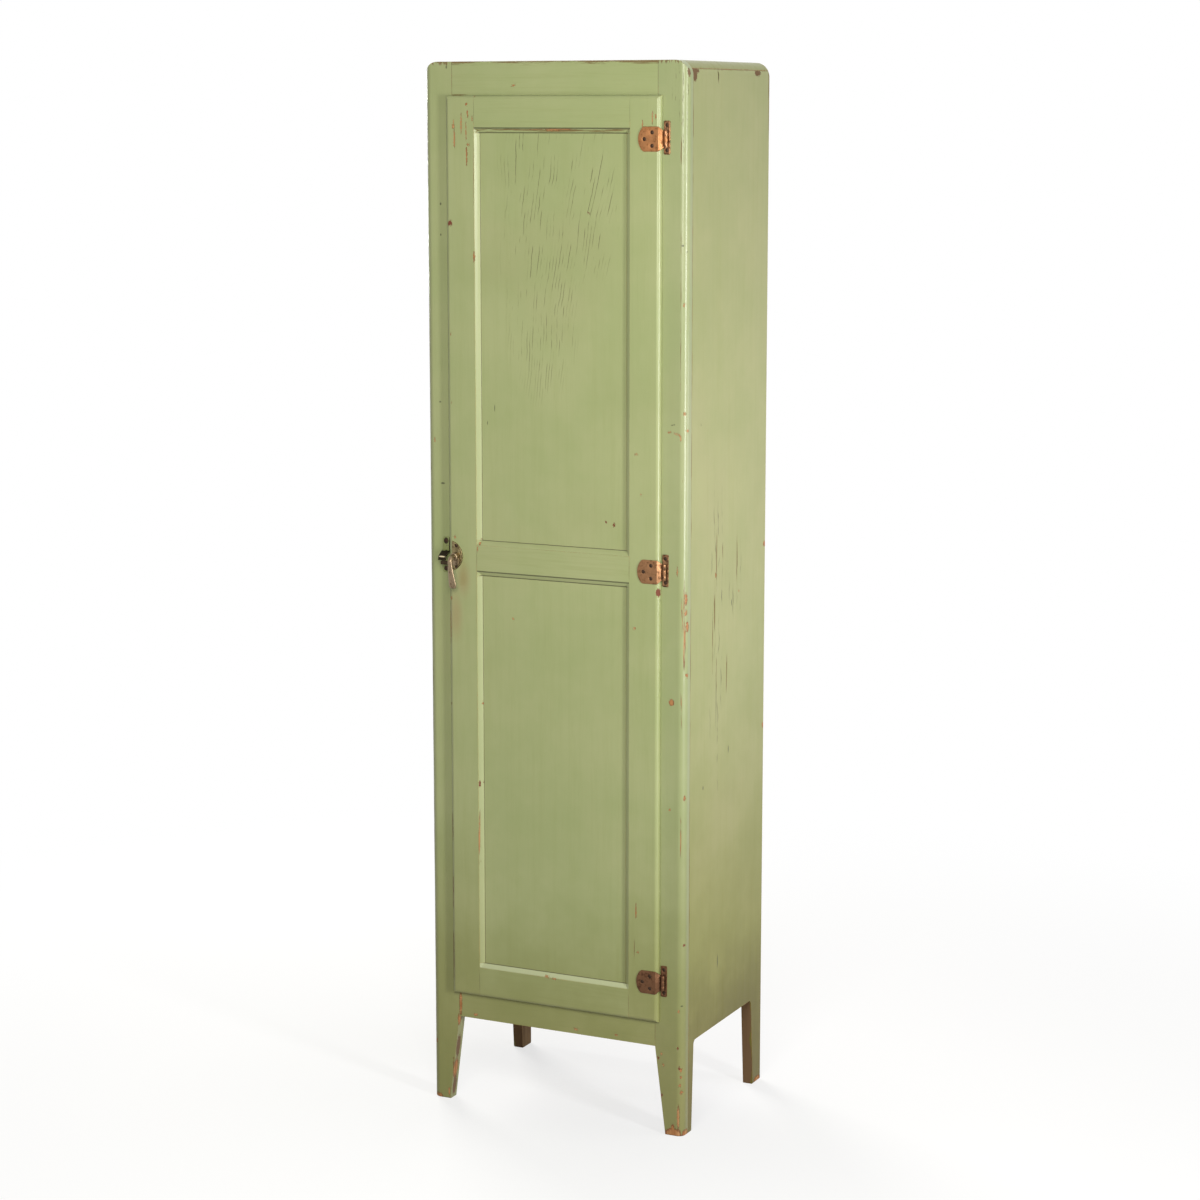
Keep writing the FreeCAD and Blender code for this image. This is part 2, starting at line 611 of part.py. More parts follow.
# Hinges. The web of a door leaf lies at 45 degrees on the rounded lip, between the fold and the barrel
SLOPE = math.sqrt(0.5)
LIP_CENTRE = V(LIP_X - LIP_ROUND, DOOR_FACE_Y + LIP_ROUND, 0)
WEB_NORMAL = V(SLOPE, -SLOPE, 0)
WEB_WAY = V(SLOPE, SLOPE, 0)


def web_point(out, y):
    """Point of the web plane at some distance from the lip's round, at height y."""
    touch = LIP_CENTRE + WEB_NORMAL * (LIP_ROUND + out)
    return touch + WEB_WAY * ((y - touch.y) / SLOPE)


FOLD = web_point(LEAF_GAP, DOOR_FACE_Y)
WEB_END = web_point(LEAF_GAP, HINGE_Y + BARREL_R)


def barrel(z, low, high, radius):
    """Cylinder on the hinge axis, from low to high about the middle of a hinge."""
    return Part.makeCylinder(radius, high - low, V(HINGE_X, HINGE_Y, z + low))


def door_leaf(z):
    """Leaf on the face of the door, bent over the lip to the middle knuckle."""
    outer_fold = web_point(LEAF_GAP + LEAF_T, DOOR_FACE_Y - LEAF_T)
    far = FOLD.x - DOOR_LEAF_W
    half = DOOR_LEAF_H / 2
    section = [
        V(far, DOOR_FACE_Y, z - half), FOLD + V(0, 0, z - half), WEB_END + V(0, 0, z - half),
        WEB_END + WEB_NORMAL * LEAF_T + V(0, 0, z - half), outer_fold + V(0, 0, z - half),
        V(far, DOOR_FACE_Y - LEAF_T, z - half)]
    bent = plate([(point, 0) for point in section], V(0, 0, DOOR_LEAF_H))
    round_x = far + DOOR_LEAF_R - math.sqrt(DOOR_LEAF_R ** 2 - half ** 2)
    neck = DOOR_LEAF_NECK_H / 2
    edge = (WEB_END + WEB_NORMAL * LEAF_T).x
    ring = [V(round_x, 0, z + half), V(FOLD.x, 0, z + half), V(edge, 0, z + neck), V(edge, 0, z - neck),
            V(FOLD.x, 0, z - half), V(round_x, 0, z - half)]
    edges = [Part.makeLine(start, end) for start, end in zip(ring, ring[1:])]
    edges.append(Part.Arc(ring[-1], V(far, 0, z), ring[0]).toShape())
    outline = Part.Face(Part.Wire(edges)).extrude(V(0, -CASE_D, 0))
    knuckle = KNUCKLE_H / 2
    bridge = plate([
        (WEB_END + V(0, 0, z - knuckle), 0), (V(HINGE_X, HINGE_Y + BARREL_R, z - knuckle), 0),
        (V(HINGE_X, HINGE_Y - BARREL_R / 2, z - knuckle), 0),
        (WEB_END + WEB_NORMAL * LEAF_T + V(0, 0, z - knuckle), 0)], V(0, 0, KNUCKLE_H))
    leaf = bent.common(outline).fuse([bridge, barrel(z, -knuckle, knuckle, BARREL_R)]).removeSplitter()
    return leaf.cut(barrel(z, -DOOR_LEAF_H, DOOR_LEAF_H, PIN_R + PIN_FIT))


KNUCKLE_START = KNUCKLE_H / 2 + KNUCKLE_GAP
BARREL_END = KNUCKLE_START + FRAME_KNUCKLE_H


def frame_leaf(z):
    """Narrow leaf on the front stile, with a knuckle above and below the door leaf's."""
    left = HINGE_X - FRAME_LEAF_W / 2
    right = HINGE_X + FRAME_LEAF_W / 2
    low_end = z + FRAME_LEAF_UP - FRAME_LEAF_H / 2
    high_end = z + FRAME_LEAF_UP + FRAME_LEAF_H / 2
    strip = plate(front_outline([
        (left, low_end, FRAME_LEAF_R), (right, low_end, FRAME_LEAF_R),
        (right, high_end, FRAME_LEAF_R), (left, high_end, FRAME_LEAF_R)],
        FACE_Y - LEAF_T), V(0, LEAF_T, 0))
    for low, high in ((KNUCKLE_START, BARREL_END), (-BARREL_END, -KNUCKLE_START)):
        root = box((HINGE_X, HINGE_X + BARREL_R), (HINGE_Y, FACE_Y), (z + low, z + high))
        strip = strip.fuse([root, barrel(z, low, high, BARREL_R)])
    return strip.removeSplitter().cut(barrel(z, -FRAME_LEAF_H, FRAME_LEAF_H, PIN_R + PIN_FIT))


def hinge_pin(z):
    """Pin with a small cap that rests on the top knuckle."""
    cap = barrel(z, BARREL_END, BARREL_END + PIN_CAP_H, PIN_CAP_R)
    return barrel(z, -BARREL_END, BARREL_END, PIN_R).fuse(cap).removeSplitter()


def door_leaf_seats(z):
    """Three screws in a triangle, pointing at the round end."""
    spots = [(DOOR_SCREW_NEAR, DOOR_SCREW_RISE), (DOOR_SCREW_NEAR, -DOOR_SCREW_RISE), (DOOR_SCREW_FAR, 0)]
    return [(V(FOLD.x - back, DOOR_FACE_Y - LEAF_T, z + rise), V(0, 1, 0)) for back, rise in spots]


def frame_leaf_seats(z):
    """One screw above and one below the barrel."""
    middle = z + FRAME_LEAF_UP
    return [
        (V(HINGE_X, FACE_Y - LEAF_T, middle + rise), V(0, 1, 0)) for rise in (FRAME_SCREW_RISE, -FRAME_SCREW_RISE)]


DOOR_LEAF_SEATS = [seat for z in HINGE_LEVELS.values() for seat in door_leaf_seats(z)]
FRAME_LEAF_SEATS = [seat for z in HINGE_LEVELS.values() for seat in frame_leaf_seats(z)]
DOOR_SCREWS, DOOR_SCREW_HOLES = screw_set(
    DOOR_LEAF_SEATS, HINGE_SCREW_HEAD_R, HINGE_SCREW_R, HINGE_SCREW_L)
FRAME_SCREWS, FRAME_SCREW_HOLES = screw_set(
    FRAME_LEAF_SEATS, HINGE_SCREW_HEAD_R, HINGE_SCREW_R, HINGE_SCREW_L)
for place, z in HINGE_LEVELS.items():
    NODES["hinge_door_leaf_" + place] = cut_all(door_leaf(z), DOOR_SCREW_HOLES)
    NODES["hinge_frame_leaf_" + place] = cut_all(frame_leaf(z), FRAME_SCREW_HOLES)
    NODES["hinge_pin_" + place] = hinge_pin(z)
NODES["hinge_door_screws"] = Part.makeCompound(DOOR_SCREWS)
NODES["hinge_frame_screws"] = Part.makeCompound(FRAME_SCREWS)


# Latch
def latch_rod(radius, start, end):
    """Cylinder on the spindle's axis between two planes."""
    return Part.makeCylinder(radius, end - start, V(LATCH_X, start, LATCH_Z), V(0, 1, 0))


def latch_plate():
    """Half-oval plate screwed to the door, straight along the lip."""
    straight = -LIP_X + PLATE_FROM_EDGE
    half = PLATE_H / 2
    ring = [V(straight, PLATE_FRONT_Y, LATCH_Z - half), V(straight, PLATE_FRONT_Y, LATCH_Z + half)]
    crown = V(straight + PLATE_W, PLATE_FRONT_Y, LATCH_Z)
    edges = [Part.makeLine(ring[0], ring[1]), Part.Arc(ring[1], crown, ring[0]).toShape()]
    solid = Part.Face(Part.Wire(edges)).extrude(V(0, PLATE_T, 0))
    tips = [edge for edge in solid.Edges if abs(edge.BoundBox.XMax - straight) < 0.01 and edge.Length < PLATE_T * 2]
    return solid.makeFillet(PLATE_R, tips).cut(latch_rod(SPINDLE_R + SPINDLE_FIT, PLATE_FRONT_Y, DOOR_FACE_Y))


def latch_lever():
    """Drop handle, boss and tongue in one casting that turns on the spindle."""
    boss = latch_rod(BOSS_R, LEVER_BACK_Y - BOSS_T, LEVER_BACK_Y)
    low = LATCH_Z - TONGUE_TOP - TONGUE_H
    arm = plate(front_outline([
        (LATCH_X - BOSS_R, LATCH_Z, 0), (LATCH_X - BOSS_R, LATCH_Z - TONGUE_TOP, 0),
        (LATCH_X - TONGUE_L, LATCH_Z - TONGUE_TOP, TONGUE_H / 3), (LATCH_X - TONGUE_L, low, TONGUE_H / 3),
        (LATCH_X + BOSS_R, low, TONGUE_H / 2), (LATCH_X + BOSS_R, LATCH_Z, 0)],
        LEVER_BACK_Y), V(0, -LEVER_PLATE_T, 0))
    front = DOOR_FACE_Y - HANDLE_OUT
    inside = front + HANDLE_BAND
    tip = LATCH_Z - HANDLE_DROP
    lean = LATCH_Z - HANDLE_ARM_END - HANDLE_STRAIGHT
    side_view = [
        (LEVER_BACK_Y, LATCH_Z - HANDLE_ARM_TOP, 0), (front, LATCH_Z - HANDLE_ARM_END, HANDLE_BEND_R),
        (front, lean, HANDLE_SWEEP_R), (front + HANDLE_SLANT, tip, HANDLE_EDGE_R),
        (inside + HANDLE_SLANT, tip, HANDLE_EDGE_R), (inside, lean, HANDLE_SWEEP_R),
        (inside, LATCH_Z - HANDLE_ARM_END - HANDLE_BAND, HANDLE_BEND_R / 2),
        (LEVER_BACK_Y, LATCH_Z - HANDLE_ARM_TOP - HANDLE_BAND, 0)]
    bent = plate(
        [(V(LATCH_X - HANDLE_TIP_W, y, z), radius) for y, z, radius in side_view], V(2 * HANDLE_TIP_W, 0, 0))
    top, wide = HANDLE_TOP_W / 2, HANDLE_TIP_W / 2
    outline = plate(front_outline([
        (LATCH_X - top, LATCH_Z, 0), (LATCH_X + top, LATCH_Z, 0),
        (LATCH_X + wide, tip, HANDLE_TIP_R), (LATCH_X - wide, tip, HANDLE_TIP_R)],
        LEVER_BACK_Y), V(0, -HANDLE_OUT, 0))
    lever = boss.fuse([arm, bent.common(outline)]).removeSplitter()
    return lever.cut(latch_rod(SPINDLE_R + SPINDLE_FIT, LEVER_BACK_Y - HANDLE_OUT, LEVER_BACK_Y))


def latch_spindle():
    """Headed spindle set in the door, which holds plate, washer and lever."""
    under_head = LEVER_BACK_Y - BOSS_T - LEVER_PLAY
    head = latch_rod(SPINDLE_HEAD_R, under_head - SPINDLE_HEAD_T, under_head)
    return latch_rod(SPINDLE_R, under_head, DOOR_FACE_Y + SPINDLE_IN).fuse(head).removeSplitter()


def latch_keeper():
    """Plate on the left stile with a sloping hood, open below, that the tongue turns up into."""
    left, right = KEEPER_X - KEEPER_W / 2, KEEPER_X + KEEPER_W / 2
    half = KEEPER_H / 2
    strip = plate(front_outline([
        (left, LATCH_Z - half, KEEPER_R), (right, LATCH_Z - half, KEEPER_R),
        (right, LATCH_Z + half, KEEPER_R), (left, LATCH_Z + half, KEEPER_R)],
        FACE_Y - KEEPER_T), V(0, KEEPER_T, 0))
    inside = TONGUE_FRONT_Y - HOOD_CLEAR
    root = FACE_Y - KEEPER_T / 2
    section = [
        (root, HOOD_RISE), (inside - HOOD_T, -HOOD_NOSE), (inside - HOOD_T, -HOOD_DROP), (inside, -HOOD_DROP),
        (inside, -HOOD_NOSE - HOOD_T), (root, HOOD_RISE - 2 * HOOD_T)]
    hood = plate([(V(left, y, LATCH_Z + rise), 0) for y, rise in section], V(KEEPER_W, 0, 0))
    return strip.fuse(hood).removeSplitter()


PLATE_SEATS = [
    (V(LATCH_X, PLATE_FRONT_Y, LATCH_Z + rise), V(0, 1, 0)) for rise in (PLATE_SCREW_RISE, -PLATE_SCREW_RISE)]
KEEPER_SEATS = [
    (V(KEEPER_X, FACE_Y - KEEPER_T, LATCH_Z + rise), V(0, 1, 0)) for rise in (KEEPER_SCREW_RISE, -KEEPER_SCREW_RISE)]
PLATE_SCREWS, PLATE_SCREW_HOLES = screw_set(PLATE_SEATS, HINGE_SCREW_HEAD_R, HINGE_SCREW_R, HINGE_SCREW_L)
KEEPER_SCREWS, KEEPER_SCREW_HOLES = screw_set(KEEPER_SEATS, HINGE_SCREW_HEAD_R, HINGE_SCREW_R, HINGE_SCREW_L)
SPINDLE_HOLE = latch_rod(SPINDLE_R + SPINDLE_FIT, DOOR_FACE_Y, DOOR_FACE_Y + SPINDLE_IN + SPINDLE_FIT)

NODES["latch_plate"] = cut_all(latch_plate(), PLATE_SCREW_HOLES)
NODES["latch_plate_screws"] = Part.makeCompound(PLATE_SCREWS)
NODES["latch_spindle"] = latch_spindle()
NODES["latch_washer"] = latch_rod(WASHER_R, PLATE_FRONT_Y - WASHER_T, PLATE_FRONT_Y).cut(
    latch_rod(SPINDLE_R + SPINDLE_FIT, PLATE_FRONT_Y - WASHER_T, PLATE_FRONT_Y))
NODES["latch_lever"] = latch_lever()
NODES["latch_keeper"] = cut_all(latch_keeper(), KEEPER_SCREW_HOLES)
NODES["latch_keeper_screws"] = Part.makeCompound(KEEPER_SCREWS)

# Holes of the hinges and the latch in the wood behind them, through any tenon in their way
DOOR_HOLES = DOOR_SCREW_HOLES + PLATE_SCREW_HOLES + [SPINDLE_HOLE]
for name in [name for name in NODES if name.startswith(("door_stile", "door_rail"))]:
    NODES[name] = cut_all(NODES[name], DOOR_HOLES)
for name in [name for name in NODES if name.startswith(("front_stile", "front_rail"))]:
    NODES[name] = cut_all(NODES[name], FRAME_SCREW_HOLES + KEEPER_SCREW_HOLES)

# One file for each piece
os.makedirs("parts", exist_ok=True)
for name, shape in NODES.items():
    shape.exportStep("parts/%s.step" % name)
    print("%-28s solids %2d valid %s volume %.0f" % (name, len(shape.Solids), shape.isValid(), shape.Volume))
print("nodes", len(NODES), "face of the frame at y", FACE_Y, "hinge", HINGE_X, HINGE_Y, "latch", LATCH_X, LATCH_Z)
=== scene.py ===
import math
from functools import partial

import bmesh
import bpy
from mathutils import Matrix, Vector


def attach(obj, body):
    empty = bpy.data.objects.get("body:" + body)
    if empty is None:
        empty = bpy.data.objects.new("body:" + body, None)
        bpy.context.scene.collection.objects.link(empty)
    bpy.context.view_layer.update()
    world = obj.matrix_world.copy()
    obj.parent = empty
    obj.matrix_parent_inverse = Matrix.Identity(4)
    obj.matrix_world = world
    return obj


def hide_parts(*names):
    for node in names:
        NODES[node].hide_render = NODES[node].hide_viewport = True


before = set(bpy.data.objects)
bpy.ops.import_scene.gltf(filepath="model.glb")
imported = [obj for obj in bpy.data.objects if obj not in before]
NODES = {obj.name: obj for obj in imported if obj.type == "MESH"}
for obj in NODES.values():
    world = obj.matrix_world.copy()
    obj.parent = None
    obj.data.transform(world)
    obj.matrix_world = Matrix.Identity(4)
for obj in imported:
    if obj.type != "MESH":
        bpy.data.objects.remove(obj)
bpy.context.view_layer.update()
MM = 0.001


# Front frame: two pine stiles that run down as tapered legs, and a top and a bottom rail, tenoned
# and dowelled. Brushed with sage green oil paint outside and left bare behind. The paint has worn
# through on the edges, the feet and wherever hands and brooms have knocked it.
PAINT = (0.345, 0.395, 0.172)
PAINT_PALE = (0.395, 0.43, 0.205)
PAINT_DEEP = (0.27, 0.305, 0.115)
PAINT_AGED = (0.36, 0.325, 0.165)
# Dark colour for open joints and knocks, and for painted shade in corners and along mouldings.
GRIME_AND_SHADE = (0.052, 0.056, 0.018)
# The next three darken the paint towards the floor: the first two for soiling and painted shade, the third
# for painted shade by the feet.
FLOOR_DIRT_AND_SHADE = (0.75, 0.68, 0.5)
BOARD_DIRT_AND_SHADE = (0.78, 0.73, 0.46)
FOOT_SHADE = (0.58, 0.5, 0.34)
# Pale paint for a painted highlight on mouldings that face the light.
PAINTED_HIGHLIGHT = (0.52, 0.56, 0.34)
# Brown of hand marks, also laid as a painted shadow under the latch lever.
HAND_BROWN_AND_SHADOW = (0.36, 0.25, 0.12)
SPLIT_BROWN = (0.1, 0.088, 0.026)
EDGE_BROWN = (0.165, 0.092, 0.03)
PINE = (0.46, 0.2, 0.07)
PINE_PALE = (0.58, 0.31, 0.13)
PINE_DARK = (0.17, 0.06, 0.02)
PRIMER = (0.17, 0.045, 0.02)
BARE_BROWN = (0.17, 0.1, 0.05)
OLD_PINE = (0.2, 0.115, 0.052)
OLD_PINE_PALE = (0.33, 0.215, 0.11)
OLD_PINE_DARK = (0.085, 0.045, 0.02)
WHITE = (1.0, 1.0, 1.0)
UPRIGHT = (1.0, 1.0, 0.035)
LEVEL = (0.035, 1.0, 1.0)
RAGGED = (0.006, 0.006, 0.014)


def put(tree, kind, values=None, **options):
    """Adds a node, sets its options, and sets or links its inputs. Colours are red, green and blue."""
    made = tree.nodes.new(kind)
    for option, value in options.items():
        setattr(made, option, value)
    for key, value in (values or {}).items():
        socket = made.inputs[key]
        if isinstance(value, bpy.types.NodeSocket):
            tree.links.new(value, socket)
        else:
            socket.default_value = (*value, 1.0) if socket.type == "RGBA" else value
    return made


def feed(kind, values, **options):
    """Adds a node to the tree that its first linked value belongs to."""
    source = next(value for value in values.values() if isinstance(value, bpy.types.NodeSocket))
    return put(source.id_data, kind, values, **options)


def calc(operation, *values):
    """Result of one sum on numbers."""
    return feed("ShaderNodeMath", dict(enumerate(values)), operation=operation).outputs[0]


plus = partial(calc, "ADD")
minus = partial(calc, "SUBTRACT")
times = partial(calc, "MULTIPLY")
scaled = partial(calc, "MULTIPLY_ADD")
most = partial(calc, "MAXIMUM")


def vector(operation, *values):
    """Result of one sum on vectors: a vector, or a number for a length."""
    made = feed("ShaderNodeVectorMath", dict(enumerate(values)), operation=operation)
    return made.outputs["Value" if operation in ("LENGTH", "DOT_PRODUCT") else "Vector"]


def axes(place):
    """X, Y and Z of a place."""
    return feed("ShaderNodeSeparateXYZ", {0: place}).outputs


def point(x, y, z):
    """Place with the given X, Y and Z."""
    return feed("ShaderNodeCombineXYZ", {0: x, 1: y, 2: z}).outputs[0]


def between(share, under, over):
    """Number between two numbers."""
    return feed("ShaderNodeMix", {0: share, 2: under, 3: over}).outputs[0]


def fade(value, start, end):
    """0 at start and 1 at end, with an easy curve between."""
    return feed("ShaderNodeMapRange", {"Value": value, "From Min": start, "From Max": end},
                interpolation_type="SMOOTHSTEP").outputs["Result"]


def tint(share, under, over, blend="MIX"):
    """Colour between two colours."""
    return feed("ShaderNodeMix", {0: share, 6: under, 7: over}, data_type="RGBA",
                blend_type=blend).outputs[2]


def shade(share, colour, film):
    """Colour seen through a thin coloured film."""
    return tint(share, colour, film, "MULTIPLY")


def noise(place, scale, detail=2.0, rough=0.5, part="Fac"):
    """Soft random pattern in space."""
    return feed("ShaderNodeTexNoise", {
        "Vector": place, "Scale": scale, "Detail": detail, "Roughness": rough}).outputs[part]


def effect(name, inputs, outputs):
    """Empty shader group with its sockets; returns it with the two ends to wire."""
    tree = bpy.data.node_groups.new(name, "ShaderNodeTree")
    for socket, kind in inputs.items():
        tree.interface.new_socket(socket, in_out="INPUT", socket_type="NodeSocket" + kind)
    for socket in outputs:
        tree.interface.new_socket(socket, in_out="OUTPUT", socket_type="NodeSocketFloat")
    return tree, tree.nodes.new("NodeGroupInput").outputs, tree.nodes.new("NodeGroupOutput").inputs


def give(result, **values):
    """Wires the outputs of a shader group."""
    for key, value in values.items():
        value.id_data.links.new(value, result[key])


def use(group, **values):
    """Places a shader group beside its values and gives its outputs."""
    sockets = {key.replace("_", " "): value for key, value in values.items()}
    return feed("ShaderNodeGroup", sockets, node_tree=group).outputs


# Brush marks: cloudy tone, fine streaks along the grain, and the relief that they leave
BRUSHED, given, result = effect("brushed paint", {"Place": "Vector", "Stretch": "Vector"},
                                ("Tone", "Streak", "Height"))
along = vector("MULTIPLY", given["Place"], given["Stretch"])
cloud = noise(given["Place"], 5.0, 4.0, 0.62)
hairs = noise(along, 520.0, 3.0, 0.6)
bands = noise(along, 95.0)
wavy = noise(along, 28.0, 1.0)
give(result, Tone=fade(cloud, 0.3, 0.7), Streak=fade(scaled(hairs, 0.5, times(bands, 0.5)), 0.42, 0.72),
     Height=plus(times(hairs, 0.00004), plus(times(bands, 0.00008), times(wavy, 0.0004))))

# Rubbed edges: how near a sharp edge is, broken up so that the rubbing comes and goes
RUBBED, given, result = effect("rubbed edge", {"Place": "Vector", "Reach": "Float", "Amount": "Float"},
                               ("Depth",))
eased = feed("ShaderNodeBevel", {"Radius": given["Reach"]}, samples=4).outputs["Normal"]
flat = put(RUBBED, "ShaderNodeNewGeometry").outputs["Normal"]
turn = minus(1.0, vector("DOT_PRODUCT", eased, flat))
patchy = noise(given["Place"], 26.0, 5.0, 0.68)
rubbed = plus(times(turn, 3.4), times(minus(patchy, 0.62), 3.2))
bared = plus(calc("MINIMUM", rubbed, times(turn, 6.0)), given["Amount"])
give(result, Depth=times(bared, fade(turn, 0.0, 0.05)))

# One chip in the paint: deepest in its middle, zero at its rim
CHIP, given, result = effect("paint chip", {"Place": "Vector", "Centre": "Vector", "Half size": "Vector"},
                             ("Depth",))
off = vector("DIVIDE", vector("SUBTRACT", given["Place"], given["Centre"]), given["Half size"])
give(result, Depth=minus(1.0, vector("LENGTH", off)))

# Crackle: fine upright splits in old paint, side by side, each broken in its own places, inside a
# zone given as a depth. Lean is how far they fan out, run how often they break.
CRACKLE, given, result = effect("crackled paint", {
    "Place": "Vector", "Zone": "Float", "Lean": "Float", "Run": "Float"}, ("Depth",))
ROWS_PER_M = 160.0
FAN_HEIGHT = 1.6
parts = axes(given["Place"])
lean = times(scaled(parts["X"], 0.9, 0.13), given["Lean"])
across = minus(parts["X"], times(minus(parts["Z"], FAN_HEIGHT), lean))
waver = scaled(noise(given["Place"], 9.0), 2.5, times(noise(given["Place"], 75.0), 0.4))
track = scaled(across, ROWS_PER_M, waver)
row = times(calc("FLOOR", track), 7.3)
beside = calc("ABSOLUTE", minus(calc("FRACT", track), 0.5))
lengthways = point(row, 0.5, times(parts["Z"], given["Run"]))
broken = fade(noise(lengthways, 1.0, 2.0, 0.6), 0.47, 0.62)
zone = times(fade(given["Zone"], 0.0, 0.45), fade(noise(given["Place"], 34.0), 0.3, 0.55))
give(result, Depth=times(times(fade(beside, 0.13, 0.04), broken), zone))

# Pine grain along one direction
GRAIN, given, result = effect("pine grain", {"Place": "Vector", "Stretch": "Vector"},
                              ("Ring", "Pore", "Height"))
along = vector("MULTIPLY", given["Place"], given["Stretch"])
rings = calc("FRACT", times(noise(along, 16.0), 11.0))
ring = times(fade(rings, 0.0, 0.75), fade(rings, 1.0, 0.85))
pores = noise(along, 700.0, 3.0, 0.65)
give(result, Ring=ring, Pore=fade(pores, 0.35, 0.75),
     Height=plus(times(ring, 0.0002), times(pores, 0.00015)))


def marks(y, deep, *spots):
    """Marks on a face that looks to the front: x, z and half the width and height of each."""
    return [((x, y, z), (wide, deep, tall)) for x, z, wide, tall in spots]


def deepest(place, spots):
    """Depth of the deepest of several marks, each given as (centre, half size) in millimetres."""
    depth = None
    for centre, half in spots:
        one = use(CHIP, Place=place, Centre=[c * MM for c in centre],
                  Half_size=[h * MM for h in half])["Depth"]
        depth = one if depth is None else most(depth, one)
    return depth


def blank(name):
    """Empty material, with the place on the piece to start its nodes from."""
    made = bpy.data.materials.new(name)
    made.use_nodes = True
    made.node_tree.nodes.clear()
    return made, put(made.node_tree, "ShaderNodeTexCoord").outputs["Object"]


def surface(colour, rough, height, strength, more):
    """Ends a material: a surface with its colour, roughness, relief and other values."""
    bump = feed("ShaderNodeBump", {"Strength": strength, "Distance": 1.0, "Height": height}).outputs[0]
    skin = feed("ShaderNodeBsdfPrincipled", {
        "Base Color": colour, "Roughness": rough, "Normal": bump, **more})
    feed("ShaderNodeOutputMaterial", {"Surface": skin.outputs[0]})


def brown_wood(grain):
    """Colour of bare pine that has gone brown with age."""
    colour = tint(grain["Ring"], OLD_PINE_PALE, OLD_PINE)
    return tint(times(grain["Pore"], 0.6), colour, OLD_PINE_DARK)


